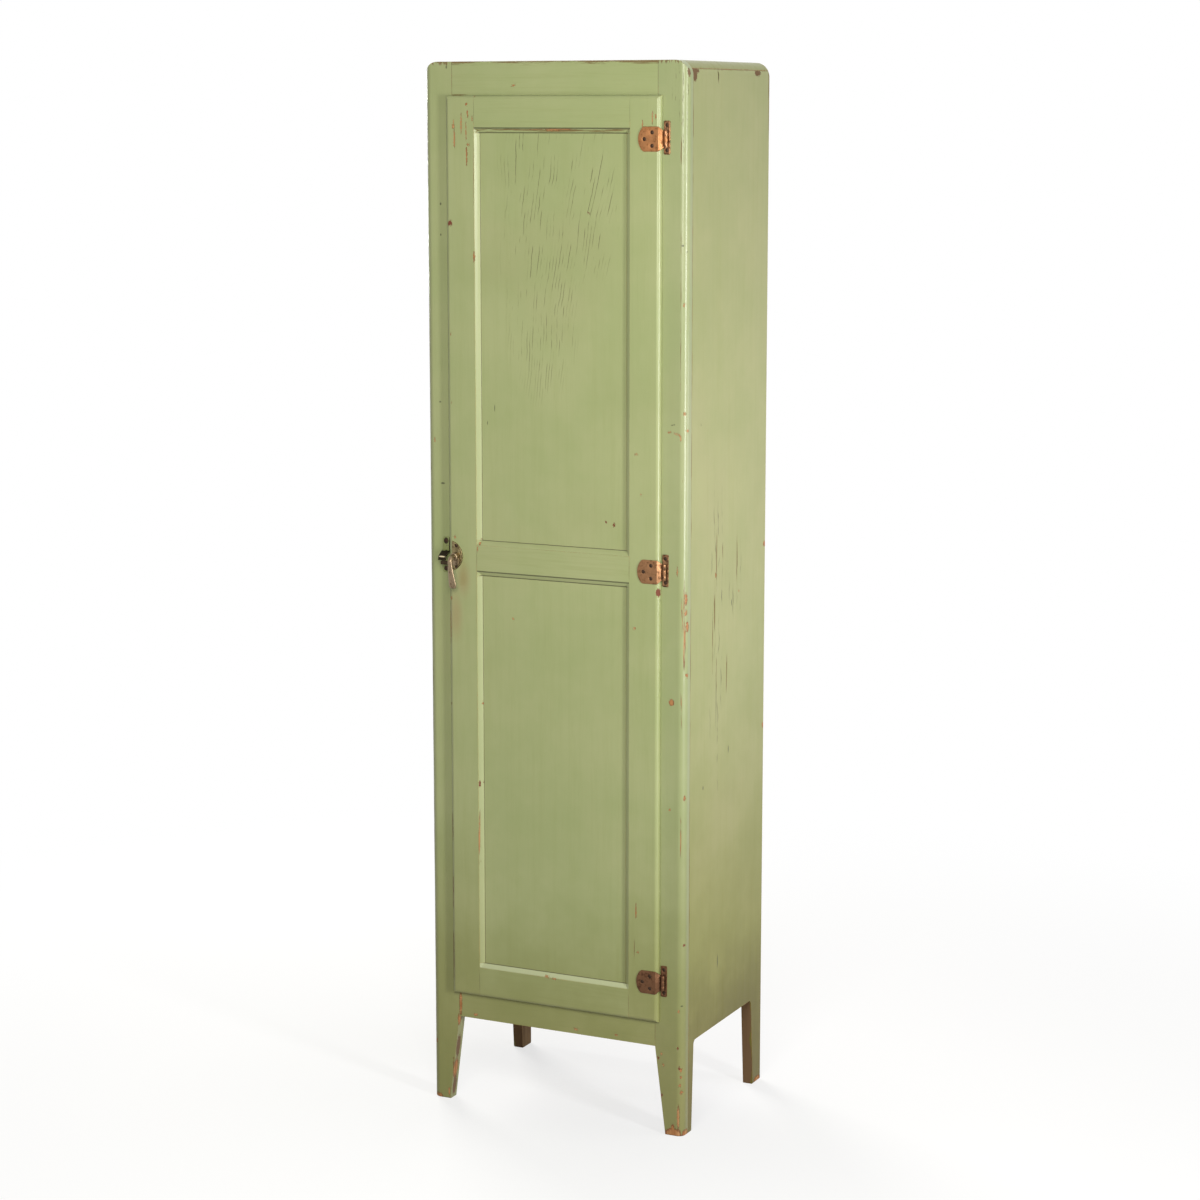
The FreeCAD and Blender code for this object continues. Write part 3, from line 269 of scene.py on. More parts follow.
def painted(name, stretch, bare=None, chips=(), primed=(), lines=(), edges=(), seam_and_shade_lines=(), smears_and_shadows=(),
            browned=(), painted_highlights=(), crackled=(), sideways=False, lean=1.0, run=20.0, rub=0.0,
            reach=1.6 * MM, streaks=0.2, film=WHITE, gloss=0.5, dirt_and_shade=((0.45, 0.02, FLOOR_DIRT_AND_SHADE),)):
    """Brushed green paint on pine. bare is (axis, test, limit): the wood is bare past that plane.
    chips go down to the wood, browned to its old skin, primed to the red undercoat; lines are long
    broken rubs, edges thin brown ones, seam_and_shade_lines open joints, knocks and painted shadow
    lines, smears_and_shadows brown hand marks and a painted shadow, painted_highlights paler paint on
    mouldings that face the light with its share, and crackled zones of split paint (sideways where it
    lies along Y, with the lean and run of its splits). rub and reach are the wear on sharp edges,
    streaks the strength of the brush marks, film a colour that the whole paint is multiplied by, gloss
    the shine, and dirt_and_shade layers that darken the paint towards the floor, partly soiling and
    partly painted shade, each with the heights where it starts and is full, and its colour."""
    made, place = blank(name)
    parts = axes(place)
    jitter = vector("SUBTRACT", noise(place, 420.0, 3.0, 0.6, "Color"), (0.5, 0.5, 0.5))
    ragged = vector("ADD", place, vector("MULTIPLY", jitter, RAGGED))

    # Paint: cloudy tone, brush streaks, browner with age, and darker towards the floor from soiling and
    # painted shade
    brushed = use(BRUSHED, Place=place, Stretch=stretch)
    colour = tint(brushed["Tone"], PAINT, PAINT_PALE)
    colour = tint(times(brushed["Streak"], streaks), colour, PAINT_DEEP)
    colour = shade(1.0, colour, film)
    aged = fade(noise(place, 2.3, 3.0, 0.6), 0.5, 0.75)
    colour = tint(times(aged, 0.25), colour, PAINT_AGED)
    low = scaled(minus(brushed["Tone"], 0.5), 0.1, parts["Z"])
    for start, full, low_tint in dirt_and_shade:
        colour = shade(fade(low, start, full), colour, low_tint)
    # Painted highlight: paler paint on mouldings that face the light.
    for centre, half, share in painted_highlights:
        highlight_share = fade(deepest(place, [(centre, half)]), 0.0, 0.5)
        colour = tint(times(highlight_share, share), colour, PAINTED_HIGHLIGHT)
    # Painted shade: darker in corners and creases, from ambient occlusion over 5 mm.
    hidden = put(made.node_tree, "ShaderNodeAmbientOcclusion", {"Distance": 5.0 * MM}, samples=4)
    colour = tint(times(fade(hidden.outputs["AO"], 0.72, 0.3), 0.28), colour, GRIME_AND_SHADE)
    # Brown hand marks, one of them partly a painted shadow of the latch lever.
    if smears_and_shadows:
        smear_share = fade(deepest(ragged, smears_and_shadows), 0.0, 0.9)
        colour = tint(times(smear_share, 0.5), colour, HAND_BROWN_AND_SHADOW)
    relief = brushed["Height"]
    if crackled:
        sheet = point(times(parts["Y"], 0.38), parts["X"], parts["Z"]) if sideways else place
        split = use(CRACKLE, Place=sheet, Zone=deepest(ragged, crackled), Lean=lean, Run=run)["Depth"]
        colour = tint(times(split, 0.8), colour, SPLIT_BROWN)
        relief = minus(relief, times(split, 0.0002))

    # Wear: how deep it goes at each spot, from the rubbed edges and the marks that are named
    grain = use(GRAIN, Place=place, Stretch=stretch)
    wood = tint(times(grain["Pore"], 0.55), tint(grain["Ring"], PINE_PALE, PINE), PINE_DARK)
    depth = use(RUBBED, Place=place, Reach=reach, Amount=rub)["Depth"]
    if chips:
        depth = most(depth, deepest(ragged, chips))
    if lines or edges:
        skips = fade(noise(vector("MULTIPLY", place, stretch), 330.0, 4.0, 0.7), 0.36, 0.6)
    if lines:
        depth = most(depth, minus(deepest(place, lines), skips))
    worn = fade(depth, 0.0, 0.12)
    if edges:
        edge = fade(minus(deepest(place, edges), times(skips, 0.8)), 0.0, 0.35)
        colour = tint(times(edge, 0.85), colour, EDGE_BROWN)
    colour = tint(worn, colour, tint(fade(depth, 0.1, 0.4), PINE_DARK, wood))
    if edges:
        worn = most(worn, edge)
    for spots, under in ((primed, PRIMER), (browned, BARE_BROWN)):
        if spots:
            hole = fade(deepest(ragged, spots), 0.0, 0.15)
            colour = tint(hole, colour, under)
            worn = most(worn, hole)
    # Dark lines: open joints and knocks, and on the door painted shadow along its mouldings.
    if seam_and_shade_lines:
        dark_line = fade(deepest(place, seam_and_shade_lines), 0.0, 0.6)
        colour = tint(times(dark_line, 0.8), colour, GRIME_AND_SHADE)
    if bare:
        axis, test, limit = bare
        inside = calc(test, calc("ABSOLUTE", parts["X"]) if axis == "X" else parts[axis], limit)
        colour = tint(inside, colour, brown_wood(grain))
        worn = most(worn, inside)

    rough = between(worn, scaled(brushed["Streak"], 0.1, 0.28), 0.72)
    height = between(worn, plus(relief, 0.0004), grain["Height"])
    surface(colour, rough, height, 0.55, {"IOR": 1.5, "Specular IOR Level": gloss})
    return made


def dress(material, *names):
    """Gives a material to CAD pieces whose shape is already right."""
    for name in names:
        NODES[name].data.materials.clear()
        NODES[name].data.materials.append(material)


FRAME_BACK = -130.75 * MM
FRAME_BARE = ("Y", "GREATER_THAN", FRAME_BACK - 0.3 * MM)
FRAME_Y = -153
STILE_DIRT_AND_SHADE = ((0.62, 0.02, FLOOR_DIRT_AND_SHADE),)
ENDLESS = 4000
TOP_RUB = ((0, -152.7, 1829), (ENDLESS, 8, 8))
dress(painted(
    "left stile paint", UPRIGHT, FRAME_BARE, rub=-0.5, dirt_and_shade=STILE_DIRT_AND_SHADE,
    chips=[((-231, -153, 1187), (1.4, 4, 4)), ((-240, -152, 105), (3, 5, 5)), ((-236, -152, 2), (10, 8, 7)),
           ((-214, -152, 14), (2, 5, 9)), ((-205, -145, 60), (3, 9, 40)), ((-193, -150, 150), (3, 6, 14))],
    browned=[((-200, -144, 108), (3.6, 8, 44)), ((-210, -142, 36), (3.6, 8, 36))],
    edges=[TOP_RUB, ((-245, -147, 950), (8, 9, ENDLESS))],
    seam_and_shade_lines=marks(FRAME_Y, 4, (-215.3, 1591, 2.4, 3.2), (-215.5, 1539, 1.9, 2.8), (-219.7, 1253, 2.6, 2),
                (-215.6, 1112, 5.4, 2.4), (-202, 1820, 2, 4))), "front_stile_left")
dress(painted(
    "right stile paint", UPRIGHT, FRAME_BARE, rub=-0.5, dirt_and_shade=STILE_DIRT_AND_SHADE, film=(0.91, 0.915, 0.95),
    chips=marks(FRAME_Y, 4, (214.5, 1221, 3.6, 1.4), (226.3, 1219, 4.2, 1.4), (232.7, 1217, 2.8, 2.1),
                (235, 1211, 1.4, 5.4), (230, 988, 1.4, 8), (220, 764, 5.5, 6), (218, 578, 2, 2),
                (204, 145, 2, 3), (208, 125, 2, 3))
    + marks(FRAME_Y, 6, (228, 2, 19, 13), (226, 10, 4, 12))
    + marks(-152, 4, (239.2, 1432, 1.6, 3.4), (238, 92, 3, 3), (236, 34, 2.2, 24))
    + marks(-151, 5, (240, 119, 2.5, 4), (240, 107, 2, 3))
    + marks(-148, 6, (243.5, 941, 1.8, 12), (243.5, 918, 1.4, 6))
    + [((241.5, -151, 1253), (3.2, 4, 3)), ((244, -146, 1224), (1.5, 5, 2.5)),
       ((244.5, -143, 894), (1.6, 5, 10)), ((244.5, -144, 811), (1.4, 5, 4)),
       ((243, -149, 599), (1.8, 5, 5)), ((236, -152.5, 224), (2.4, 4, 2.4)),
       ((241, -150, 80), (2.5, 5, 4)), ((243, -140, 4), (4, 10, 9))],
    primed=[((198, -152, 137), (2, 5, 3)), ((205, -153, 71), (2, 4, 3)), ((237, -152, 123), (2, 4, 3)),
            ((243.5, -147, 341), (2, 5, 2.4)), ((235, -153, 158), (2, 4, 3.4))],
    browned=[((244, -145, 1811), (2, 5, 10))],
    lines=marks(-152, 4, (238.5, 1140, 1.7, 60), (238.5, 914, 1.8, 44), (238.5, 763, 1.8, 56),
                (238, 532, 1.6, 40)) + [((242, -150, 900), (3, 5, 90))],
    edges=[TOP_RUB] + marks(-152.7, 3, (234.4, 1727, 1.3, 12), (233.4, 1685, 1.4, 34), (234, 1400, 1, 260)),
    seam_and_shade_lines=[((244, -140, 22), (1, 5, 18)), ((237.2, -152.5, 1529), (3.2, 4, 2.4)),
           ((243, -149, 1519), (1.6, 4, 1.8)), ((219.4, -153, 1233), (2.2, 4, 1.6)),
           ((223.2, -153, 1234), (1.9, 4, 1.6)), ((241, -150, 234), (3, 4, 2))],
    crackled=[((230, -153, 1775), (16, 8, 50)), ((240, -151, 1740), (8, 8, 150))], lean=0.0, run=50.0),
    "front_stile_right")
dress(painted(
    "frame rail paint", LEVEL, FRAME_BARE, rub=-0.85, streaks=0.34, dirt_and_shade=STILE_DIRT_AND_SHADE,
    chips=marks(FRAME_Y, 4, (-74, 1789, 4.6, 1.5), (-189, 181, 3, 25), (-159, 164, 5, 2.4),
                (40, 165, 5, 2), (118, 166, 3, 1.8)),
    edges=[TOP_RUB, ((-178, -153, 1773), (22, 5, 2))],
    seam_and_shade_lines=marks(-152.8, 3, *[(x, z, 0.9, tall) for x in (-192, 192) for z, tall in ((1800, 60), (183, 27))])),
    "front_rail_top", "front_rail_bottom")


# Side boards: one wide pine board each, with both legs sawn in its foot. Painted outside and on the
# edges, bare inside, glued to the back of the front frame with dowels.
SIDE_INNER = 226.0 * MM
RIGHT = (245,)
LEFT = (-245,)
BOTH = (245, -245)
SAWN_LEG = (233, -233)


def side_marks(faces, deep, *spots):
    """Marks on faces that look to the side: y, z and half the width and height of each."""
    return [((x, y, z), (deep, wide, tall)) for x in faces for y, z, wide, tall in spots]


dress(painted(
    "side board paint", UPRIGHT, ("X", "LESS_THAN", SIDE_INNER + 0.3 * MM), rub=-0.4, streaks=0.09,
    film=(1.0, 0.94, 0.86), gloss=0.2, dirt_and_shade=((0.85, 0.15, BOARD_DIRT_AND_SHADE), (0.32, 0.05, FOOT_SHADE)),
    crackled=side_marks(BOTH, 12, (-20, 860, 40, 340), (48, 955, 44, 150)), sideways=True, lean=0.0, run=13.0,
    browned=side_marks(RIGHT, 4, (-121, 1813, 20, 6), (-124, 1804, 9, 10), (139, 1811, 13, 6),
                       (150, 1813, 6, 4))
    + side_marks(SAWN_LEG, 12.8, (146.5, 125, 7, 70), (153, 40, 7, 70)),
    chips=side_marks(RIGHT, 4, (-27, 965, 2.6, 4), (74, 922, 2.4, 3), (187, 991, 5.6, 5), (188, 663, 6, 5))
    + side_marks(RIGHT, 3, (-132, 1552, 2.4, 9)) + side_marks(LEFT, 3, (60, 420, 4, 7), (-60, 1240, 3, 5))
    + side_marks(LEFT, 4, (150, 1806, 9, 6), (186, 1030, 5, 16))
    + [((244, 176, 3), (6, 16, 8)), ((240, 120, 2), (8, 5, 5)), ((-244, 172, 3), (6, 14, 9)),
       ((-244, -120, 4), (6, 9, 7))],
    edges=side_marks(BOTH, 4, (-130.7, 930, 2.2, ENDLESS), (-23, 987, 4, 90), (-22, 760, 4.4, 96),
                     (1, 1009, 3.6, 34), (64, 971, 3.6, 60), (23, 787, 3.6, 46), (-38, 851, 3.6, 70),
                     (-31, 900, 4, 60))
    + side_marks(RIGHT, 4, (189, 1770, 5, 80), (-29, 1803, 4, 14), (40, 1815, ENDLESS, 3)),
    seam_and_shade_lines=side_marks(BOTH, 4, (40, 1815, 400, 1.1), (-29, 1805, 2.2, 12), (-92, 1229, 1.2, 3),
                     (-22, 740, 1.2, 60), (43, 907, 2.2, 8), (33, 649, 2.2, 9), (-75, 602, 2.6, 5),
                     (-8, 277, 2.2, 16))), "side_board_left", "side_board_right")


# Top board: pine, painted above and along its ends, screwed up from the cleats below. Its front edge
# is rubbed brown by dusting.
TOP_UNDER = 1815.0 * MM
dress(painted(
    "top board paint", LEVEL, ("Z", "LESS_THAN", TOP_UNDER + 0.3 * MM), rub=-0.1, reach=2.4 * MM,
    film=(0.76, 0.71, 0.56), gloss=0.2,
    chips=[((120, 60, 1829), (9, 4, 3)), ((-150, -30, 1829), (14, 3, 3)), ((30, 150, 1829), (6, 9, 3))],
    edges=[((0, -152, 1828), (ENDLESS, 8, 8)), ((245, 0, 1815), (6, ENDLESS, 3))],
    smears_and_shadows=[((70, 40, 1829), (70, 50, 10)), ((-110, 90, 1829), (50, 44, 10))]), "top_board")


# Floor, shelves and their cleats, and the tongued back boards: plain pine that was never painted,
# gone brown with age. The shelves lie loose on cleats that are screwed to the side boards.
ACROSS = (1.0, 0.035, 1.0)


def old_pine(name, stretch, shift=0.0):
    """Unpainted pine, darkened by age. shift picks another stretch of the tree, so that no two boards
    have the same grain."""
    made, place = blank(name)
    place = vector("ADD", place, (shift, 0.7 * shift, 0.4 * shift))
    grain = use(GRAIN, Place=place, Stretch=stretch)
    stain = fade(noise(place, 6.0, 4.0, 0.65), 0.45, 0.75)
    colour = tint(times(stain, 0.5), brown_wood(grain), OLD_PINE_DARK)
    surface(colour, scaled(grain["Pore"], 0.15, 0.62), grain["Height"], 0.5, {"IOR": 1.5})
    return made


for number, board in enumerate(("floor_board", "shelf_1", "shelf_2", "shelf_3", "shelf_4")):
    dress(old_pine(board + " pine", LEVEL, 1.3 * number), board)
for number, board in enumerate(("back_board_1", "back_board_2", "back_board_3")):
    dress(old_pine(board + " pine", UPRIGHT, 1.7 * number), board)
dress(old_pine("cleat pine", ACROSS), *[
    name for name in NODES if name.startswith("cleat_") and "screw" not in name])


# Door: two stiles and three rails with a moulded inner edge, mortised together, with a lip all round
# that lies on the frame. Painted in front and round the edges, bare behind.
DOOR_BARE = ("Y", "GREATER_THAN", -152.4 * MM)
DOOR_Y = -162
STICKING_X = 145.5
dress(painted(
    "left door stile paint", UPRIGHT, DOOR_BARE, rub=-0.85, dirt_and_shade=STILE_DIRT_AND_SHADE,
    chips=marks(DOOR_Y, 4, (-184.3, 1721, 2.6, 4), (-182.5, 1701, 1.6, 17), (-184, 1728, 1.1, 6),
                (-169.2, 1726, 1.4, 20), (-159.2, 1758, 2, 3.2), (-157, 1742, 1.4, 7), (-148.3, 1734, 1.1, 5),
                (-160, 1714, 0.9, 18), (-155.6, 1691, 3.4, 1.7), (-159.2, 1671, 1.6, 18),
                (-187.8, 1021, 2.4, 2.6), (-143.5, 1002, 1.3, 6), (-144, 516, 1.4, 2.4))
    + marks(-159, 4, (-192.6, 1372, 2.4, 3), (-192.7, 1253, 1.8, 5), (-137, 1019, 1.1, 6),
            (-137.5, 731, 1.9, 3.6))
    + [((-146.6, -160, 1504), (2, 4, 12)), ((-140, -160, 1012), (2.6, 5, 3)),
       ((-196, -161, 914), (2.4, 4, 2.6)), ((-198.7, -159.8, 862), (2.5, 3.5, 32))],
    primed=[((-192, -159, 1559), (5.5, 6, 6.8)), ((-143, -162, 587), (2.3, 4, 7)),
            ((-137, -159, 591), (1.4, 4, 2.6))],
    browned=marks(-160, 3.5, (-198.6, 726, 2, 4), (-198.6, 505, 2.4, 30), (-198.6, 390, 2.2, 40),
                  (-198.6, 270, 2.6, 50)),
    lines=marks(-161.8, 3, (-199.6, 1692, 1.6, 68), (-199.8, 740, 2.4, 130), (-199.8, 330, 2.4, 120))
    + marks(DOOR_Y, 4, (-143.5, 470, 2.8, 90)),
    edges=[((-146, -162, 1639), (1.2, 3, 76)), ((-200, -162, 600), (3.2, 3.2, 330))],
    # The dark line where the left moulding meets the panel is painted shade, the first smear is partly a
    # painted shadow of the latch lever, and the paler left moulding is a painted highlight.
    seam_and_shade_lines=[((-136.6, -156.3, 985), (0.8, 3, ENDLESS))],
    smears_and_shadows=marks(DOOR_Y, 6, (-172, 948, 20, 44), (-187, 884, 19, 60)),
    painted_highlights=[((-141, -159, 985), (7, 5, ENDLESS), 0.3)]), "door_stile_left")
dress(painted(
    "right door stile paint", UPRIGHT, DOOR_BARE, rub=-0.85, dirt_and_shade=STILE_DIRT_AND_SHADE,
    chips=marks(DOOR_Y, 4, (168, 1726, 1.2, 6), (186, 1736, 1.2, 12), (192, 1738, 1.1, 5),
                (158, 1182, 3.3, 1.6), (167, 1115, 1.4, 1.4), (155, 887, 3.3, 2.1), (162.8, 323, 3, 1.4),
                (159.3, 396, 1.2, 14)),
    primed=[((198, -159, 951), (4, 6, 8))],
    edges=marks(DOOR_Y, 4, (156.6, 322, 1.1, 54))), "door_stile_right")
dress(painted(
    "door rail paint", LEVEL, DOOR_BARE, rub=-0.85, streaks=0.3,
    # Paler paint on the bottom rail's upward moulding: a painted highlight.
    painted_highlights=[((0, -159, 259), (ENDLESS, 5, 7), 0.85)],
    chips=marks(-160, 5, (-164, 1771, 24, 1.5), (-140, 1012, 2.6, 3))
    + marks(-161, 5, (-13, 256, 5, 1.6), (2, 254, 5, 1.6))
    + [((2, -160, 1716), (15, 4, 1.8)), ((-143.5, -162, 1003), (1.3, 4, 6))],
    lines=[((5, -160.5, 1717), (75, 3, 1.5))], edges=[((10, -159, 1715), (400, 5, 5))],
    seam_and_shade_lines=marks(DOOR_Y, 3, *[(side * STICKING_X, z, 0.7, tall) for side in (-1, 1) for z, tall in (
        (1746, 27), (987, 23), (228, 26))])
    # Along the downward mouldings of the top and middle rails (z 1718.6, 1710.6, 963.8, 955.8) these are
    # painted shadow lines; at z 1018 and 263.2 they are joints at the panels.
    + marks(-161.5, 4, (0, 1718.6, ENDLESS, 1.9), (0, 963.8, ENDLESS, 1.9))
    + marks(-156.5, 4, (0, 1710.6, ENDLESS, 1.9), (0, 955.8, ENDLESS, 1.9), (0, 1018, ENDLESS, 1.2),
            (0, 263.2, ENDLESS, 1.2))),
    "door_rail_top", "door_rail_middle", "door_rail_bottom")


# Door panels: one thin flat board each, slid into the grooves before the door was glued up. The paint
# has split along the grain at the top of the upper one, where the sun reached it.
PANEL_BARE = ("Y", "GREATER_THAN", -151.0 * MM)
PANEL_Y = -155.6
dress(painted(
    "upper panel paint", UPRIGHT, PANEL_BARE, rub=-0.85,
    primed=marks(PANEL_Y, 4, (66.5, 1580, 2, 1.8), (99.4, 1064, 2.2, 2.2), (114, 1060, 3, 3)),
    seam_and_shade_lines=marks(PANEL_Y, 4, (-112, 1247, 1, 8), (-126, 1221, 1, 4.5)),
    crackled=marks(PANEL_Y, 20, (-15, 1665, 100, 120), (-45, 1520, 60, 200), (75, 1590, 60, 150),
                   (-20, 1480, 90, 260))), "door_panel_upper")
dress(painted("lower panel paint", UPRIGHT, PANEL_BARE, rub=-0.85,
              chips=marks(PANEL_Y, 4, (-78, 884, 2.2, 2.2))), "door_panel_lower")


# Hinges: three stamped offset hinges. The door leaf lies on the face of the door and folds back over
# the lip to the middle knuckle; the narrow leaf on the stile carries the other two. The copper plate
# is brightest on the top hinge, duller on the middle one and nearly brown on the bottom one.
HINGE_LEVELS = {"top": 1701.5 * MM, "middle": 985.5 * MM, "bottom": 272.5 * MM}
HINGE_X = 208.5 * MM
HINGE_Y = -157.85 * MM
LEAF_T = 1.5 * MM
DOOR_FACE = -162.25 * MM
FRAME_FACE = -152.75 * MM
FOLD_X = 196.61 * MM
FOLD_MITRE = 0.62 * MM
WEB_RUN = 7.65 * MM
LEAF_HALF_H = 20.25 * MM
LEAF_END_R = 27.0 * MM
LEAF_W = 36.0 * MM
LEAF_CORNER_R = 3.0 * MM
LEAF_RIM_R = 0.7 * MM
LEAF_ROLL = 292
NECK_HALF_H = 13.0 * MM
BARREL_R = 3.25 * MM
KNUCKLE_HALF_H = 4.5 * MM
FRAME_LEAF_W = 11.5 * MM
FRAME_LEAF_H = 55.0 * MM
FRAME_LEAF_UP = 2.4 * MM
FRAME_LEAF_CORNER_R = 2.5 * MM
FRAME_LEAF_ROLL = 255
FRAME_KNUCKLES = (4.8 * MM, 12.8 * MM)
PIN_R = 1.6 * MM
PIN_CAP_R = 2.6 * MM
SCREW_R = 3.3 * MM
SCREW_DOME_R = 8.0 * MM
SCREW_NECK = 1.2 * MM
SLOT_HALF_W = 0.42 * MM
SLOT_DEPTH = 0.6 * MM
SINK_R = 3.9 * MM
DOOR_SCREWS = ((186.11 * MM, 10.9 * MM, 0.5), (186.11 * MM, -10.9 * MM, 2.1), (172.11 * MM, 0.0, 1.2))
FRAME_SCREW_RISE = 20.3 * MM
SUNK = 0.25 * MM


def begin(name, add, **size):
    """Adds a primitive at its size and place, and opens it for editing."""
    bpy.ops.object.select_all(action="DESELECT")
    add(**size)
    made = bpy.context.object
    made.name = name
    bpy.ops.object.transform_apply(location=True, rotation=True, scale=True)
    bpy.ops.object.mode_set(mode="EDIT")
    return made


def block(x, y, z):
    """Size and place of a cube between two limits on each axis."""
    spans = (x, y, z)
    return {"size": 1.0, "location": [(low + high) / 2 for low, high in spans],
            "scale": [high - low for low, high in spans]}


def slab(name, x, y, z):
    """Opens a cube between two limits on each axis."""
    return begin(name, bpy.ops.mesh.primitive_cube_add, **block(x, y, z))


def rod(name, radius, sides, x, z, front, back):
    """Opens a cylinder that lies along Y."""
    return begin(name, bpy.ops.mesh.primitive_cylinder_add, vertices=sides, radius=radius,
                 depth=back - front, rotation=(math.pi / 2, 0.0, 0.0), location=(x, (front + back) / 2, z))


def pick(made, test, kind="FACE"):
    """Selects the faces or edges whose middle passes a test."""
    bpy.ops.mesh.select_mode(type=kind)
    bpy.ops.mesh.select_all(action="DESELECT")
    shape = bmesh.from_edit_mesh(made.data)
    shape.normal_update()
    for item in shape.faces if kind == "FACE" else shape.edges:
        middle = sum((corner.co for corner in item.verts), Vector()) / len(item.verts)
        if test(middle, item):
            item.select_set(True)
    bmesh.update_edit_mesh(made.data)


def at(**places):
    """Test for pick: whether the middle lies at the given x, y or z."""
    return lambda middle, item: all(near(getattr(middle, axis), place) for axis, place in places.items())


def saw(place, way, keep=False, picked=False):
    """Cuts the shape, or what is picked of it, along a plane, and drops or keeps what lies past it."""
    if not picked:
        bpy.ops.mesh.select_all(action="SELECT")
    bpy.ops.mesh.bisect(plane_co=place, plane_no=way, use_fill=not keep, clear_outer=not keep)


def draw_out(step):
    """Extrudes what is selected by a step."""
    bpy.ops.mesh.extrude_region_move(TRANSFORM_OT_translate={"value": step})


def grow(factors, centre):
    """Scales what is selected about a point."""
    bpy.ops.transform.resize(value=factors, center_override=centre)


def roll(steps, degrees, centre, axis=(0.0, 0.0, 1.0)):
    """Sweeps what is selected round an axis."""
    bpy.ops.mesh.spin(steps=steps, angle=math.radians(degrees), center=centre, axis=axis)


def soften(radius, segments):
    """Rounds the selected edges."""
    bpy.ops.mesh.bevel(offset=radius, segments=segments, affect="EDGES")


def near(value, target, within=0.05 * MM):
    """Whether two measures agree."""
    return abs(value - target) < within


def close(made, edge=0.0, angle=35.0):
    """Merges doubles, turns the faces outwards, rounds the edges and smooths what is curved."""
    bpy.ops.mesh.select_all(action="SELECT")
    bpy.ops.mesh.remove_doubles(threshold=0.002 * MM)
    bpy.ops.mesh.normals_make_consistent(inside=False)
    bpy.ops.object.mode_set(mode="OBJECT")
    if edge:
        soft = made.modifiers.new("soft edge", "BEVEL")
        soft.width = edge
        soft.segments = 2
        soft.limit_method = "ANGLE"
        soft.angle_limit = math.radians(angle)
        bpy.ops.object.modifier_apply(modifier=soft.name)
    bpy.ops.object.shade_smooth_by_angle(angle=math.radians(angle))


def reopen(made):
    """Opens a closed shape again for editing."""
    bpy.ops.object.select_all(action="DESELECT")
    made.select_set(True)
    bpy.context.view_layer.objects.active = made
    bpy.ops.object.mode_set(mode="EDIT")


def unite(*pieces):
    """Joins closed shapes into the first of them."""
    bpy.ops.object.select_all(action="DESELECT")
    for piece in pieces:
        piece.select_set(True)
    bpy.context.view_layer.objects.active = pieces[0]
    bpy.ops.object.transform_apply(location=True, rotation=True, scale=True)
    bpy.ops.object.join()


def carve(made, add, **size):
    """Cuts a primitive out of a closed shape."""
    bpy.ops.object.select_all(action="DESELECT")
    add(**size)
    cutter = bpy.context.object
    cut = made.modifiers.new("cut", "BOOLEAN")
    cut.object = cutter
    cut.solver = "EXACT"
    bpy.context.view_layer.objects.active = made
    bpy.ops.object.modifier_apply(modifier=cut.name)
    bpy.data.objects.remove(cutter)


def countersink(made, face, *seats):
    """Cuts a cone for each screw into the front of a plate."""
    for x, z in seats:
        carve(made, bpy.ops.mesh.primitive_cone_add, vertices=32, radius1=SINK_R, radius2=0.6 * MM,
              depth=3.2 * MM, location=(x, face + 1.2 * MM, z), rotation=(-math.pi / 2, 0.0, 0.0))


def flat_strip(name, x, front, z, corner, screw_x, screw_zs):
    """Strip on the face of the frame with round corners, a soft rim and two screw holes."""
    made = slab(name, x, (front, FRAME_FACE), z)
    pick(made, at(y=(front + FRAME_FACE) / 2), "EDGE")
    soften(corner, 5)
    pick(made, at(y=front), "EDGE")
    soften(0.5 * MM, 2)
    close(made)
    countersink(made, front, *[(screw_x, screw_z) for screw_z in screw_zs])
    return made


def hang(made, body, finish, material, *nodes):
    """Puts a finished piece on its body in place of the CAD nodes that it stands for."""
    made.data.materials.clear()
    made.data.materials.append(material)
    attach(made, body)
    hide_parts(*nodes)


def metal(name, bright, dull, dark, polish, patina, pitting=0.6, rubs=(0.9 * MM, 0.25),
          handled_and_shaded=None, brushed_over=None, chipped=(), scraped_and_highlit=()):
    """Old plated or cast metal: bare on the high spots, tarnished in patches and pits. rubs is
    the reach and amount of the wear on its edges; handled_and_shaded is (start, end) of a fade along X
    from dark to clean metal, the dark being tarnish and painted shade; brushed_over one along Y to green
    paint, chipped are spots where that has come off, and scraped_and_highlit are the spots that are
    kept bright, as rubbed metal and a painted highlight."""
    made, place = blank(name)
    parts = axes(place)
    blotch = noise(place, 150.0, 5.0, 0.65)
    pits = noise(place, 900.0, 3.0, 0.6)
    rubbed = use(RUBBED, Place=place, Reach=rubs[0], Amount=rubs[1])["Depth"]
    tarnish = fade(blotch, 0.68 - patina, 0.86 - patina)
    colour = tint(tarnish, bright, dull)
    colour = tint(times(fade(pits, 0.55, 0.75), pitting), colour, dark)
    if handled_and_shaded:
        dark_share = fade(parts["X"], handled_and_shaded[1], handled_and_shaded[0])
        colour = tint(times(dark_share, 0.9), colour, dark)
    colour = tint(times(fade(rubbed, 0.1, 0.7), 0.6), colour, bright)
    if scraped_and_highlit:
        colour = tint(fade(deepest(place, scraped_and_highlit), 0.0, 0.5), colour, bright)
    rough = scaled(tarnish, 0.22, polish)
    metallic = 1.0
    if brushed_over:
        rim = scaled(minus(blotch, 0.5), 0.012, parts["Y"])
        coat = times(fade(rim, *brushed_over), minus(1.0, fade(rubbed, 0.45, 0.8)))
        if chipped:
            coat = times(coat, minus(1.0, fade(deepest(place, chipped), 0.0, 0.4)))
        colour = tint(coat, colour, tint(tarnish, PAINT, PAINT_DEEP))
        rough = most(rough, times(coat, 0.45))
        metallic = minus(1.0, coat)
    relief = plus(times(blotch, 0.0012 * pitting), times(pits, 0.0002 * pitting))
    surface(colour, rough, relief, 0.5, {"Metallic": metallic})
    return made


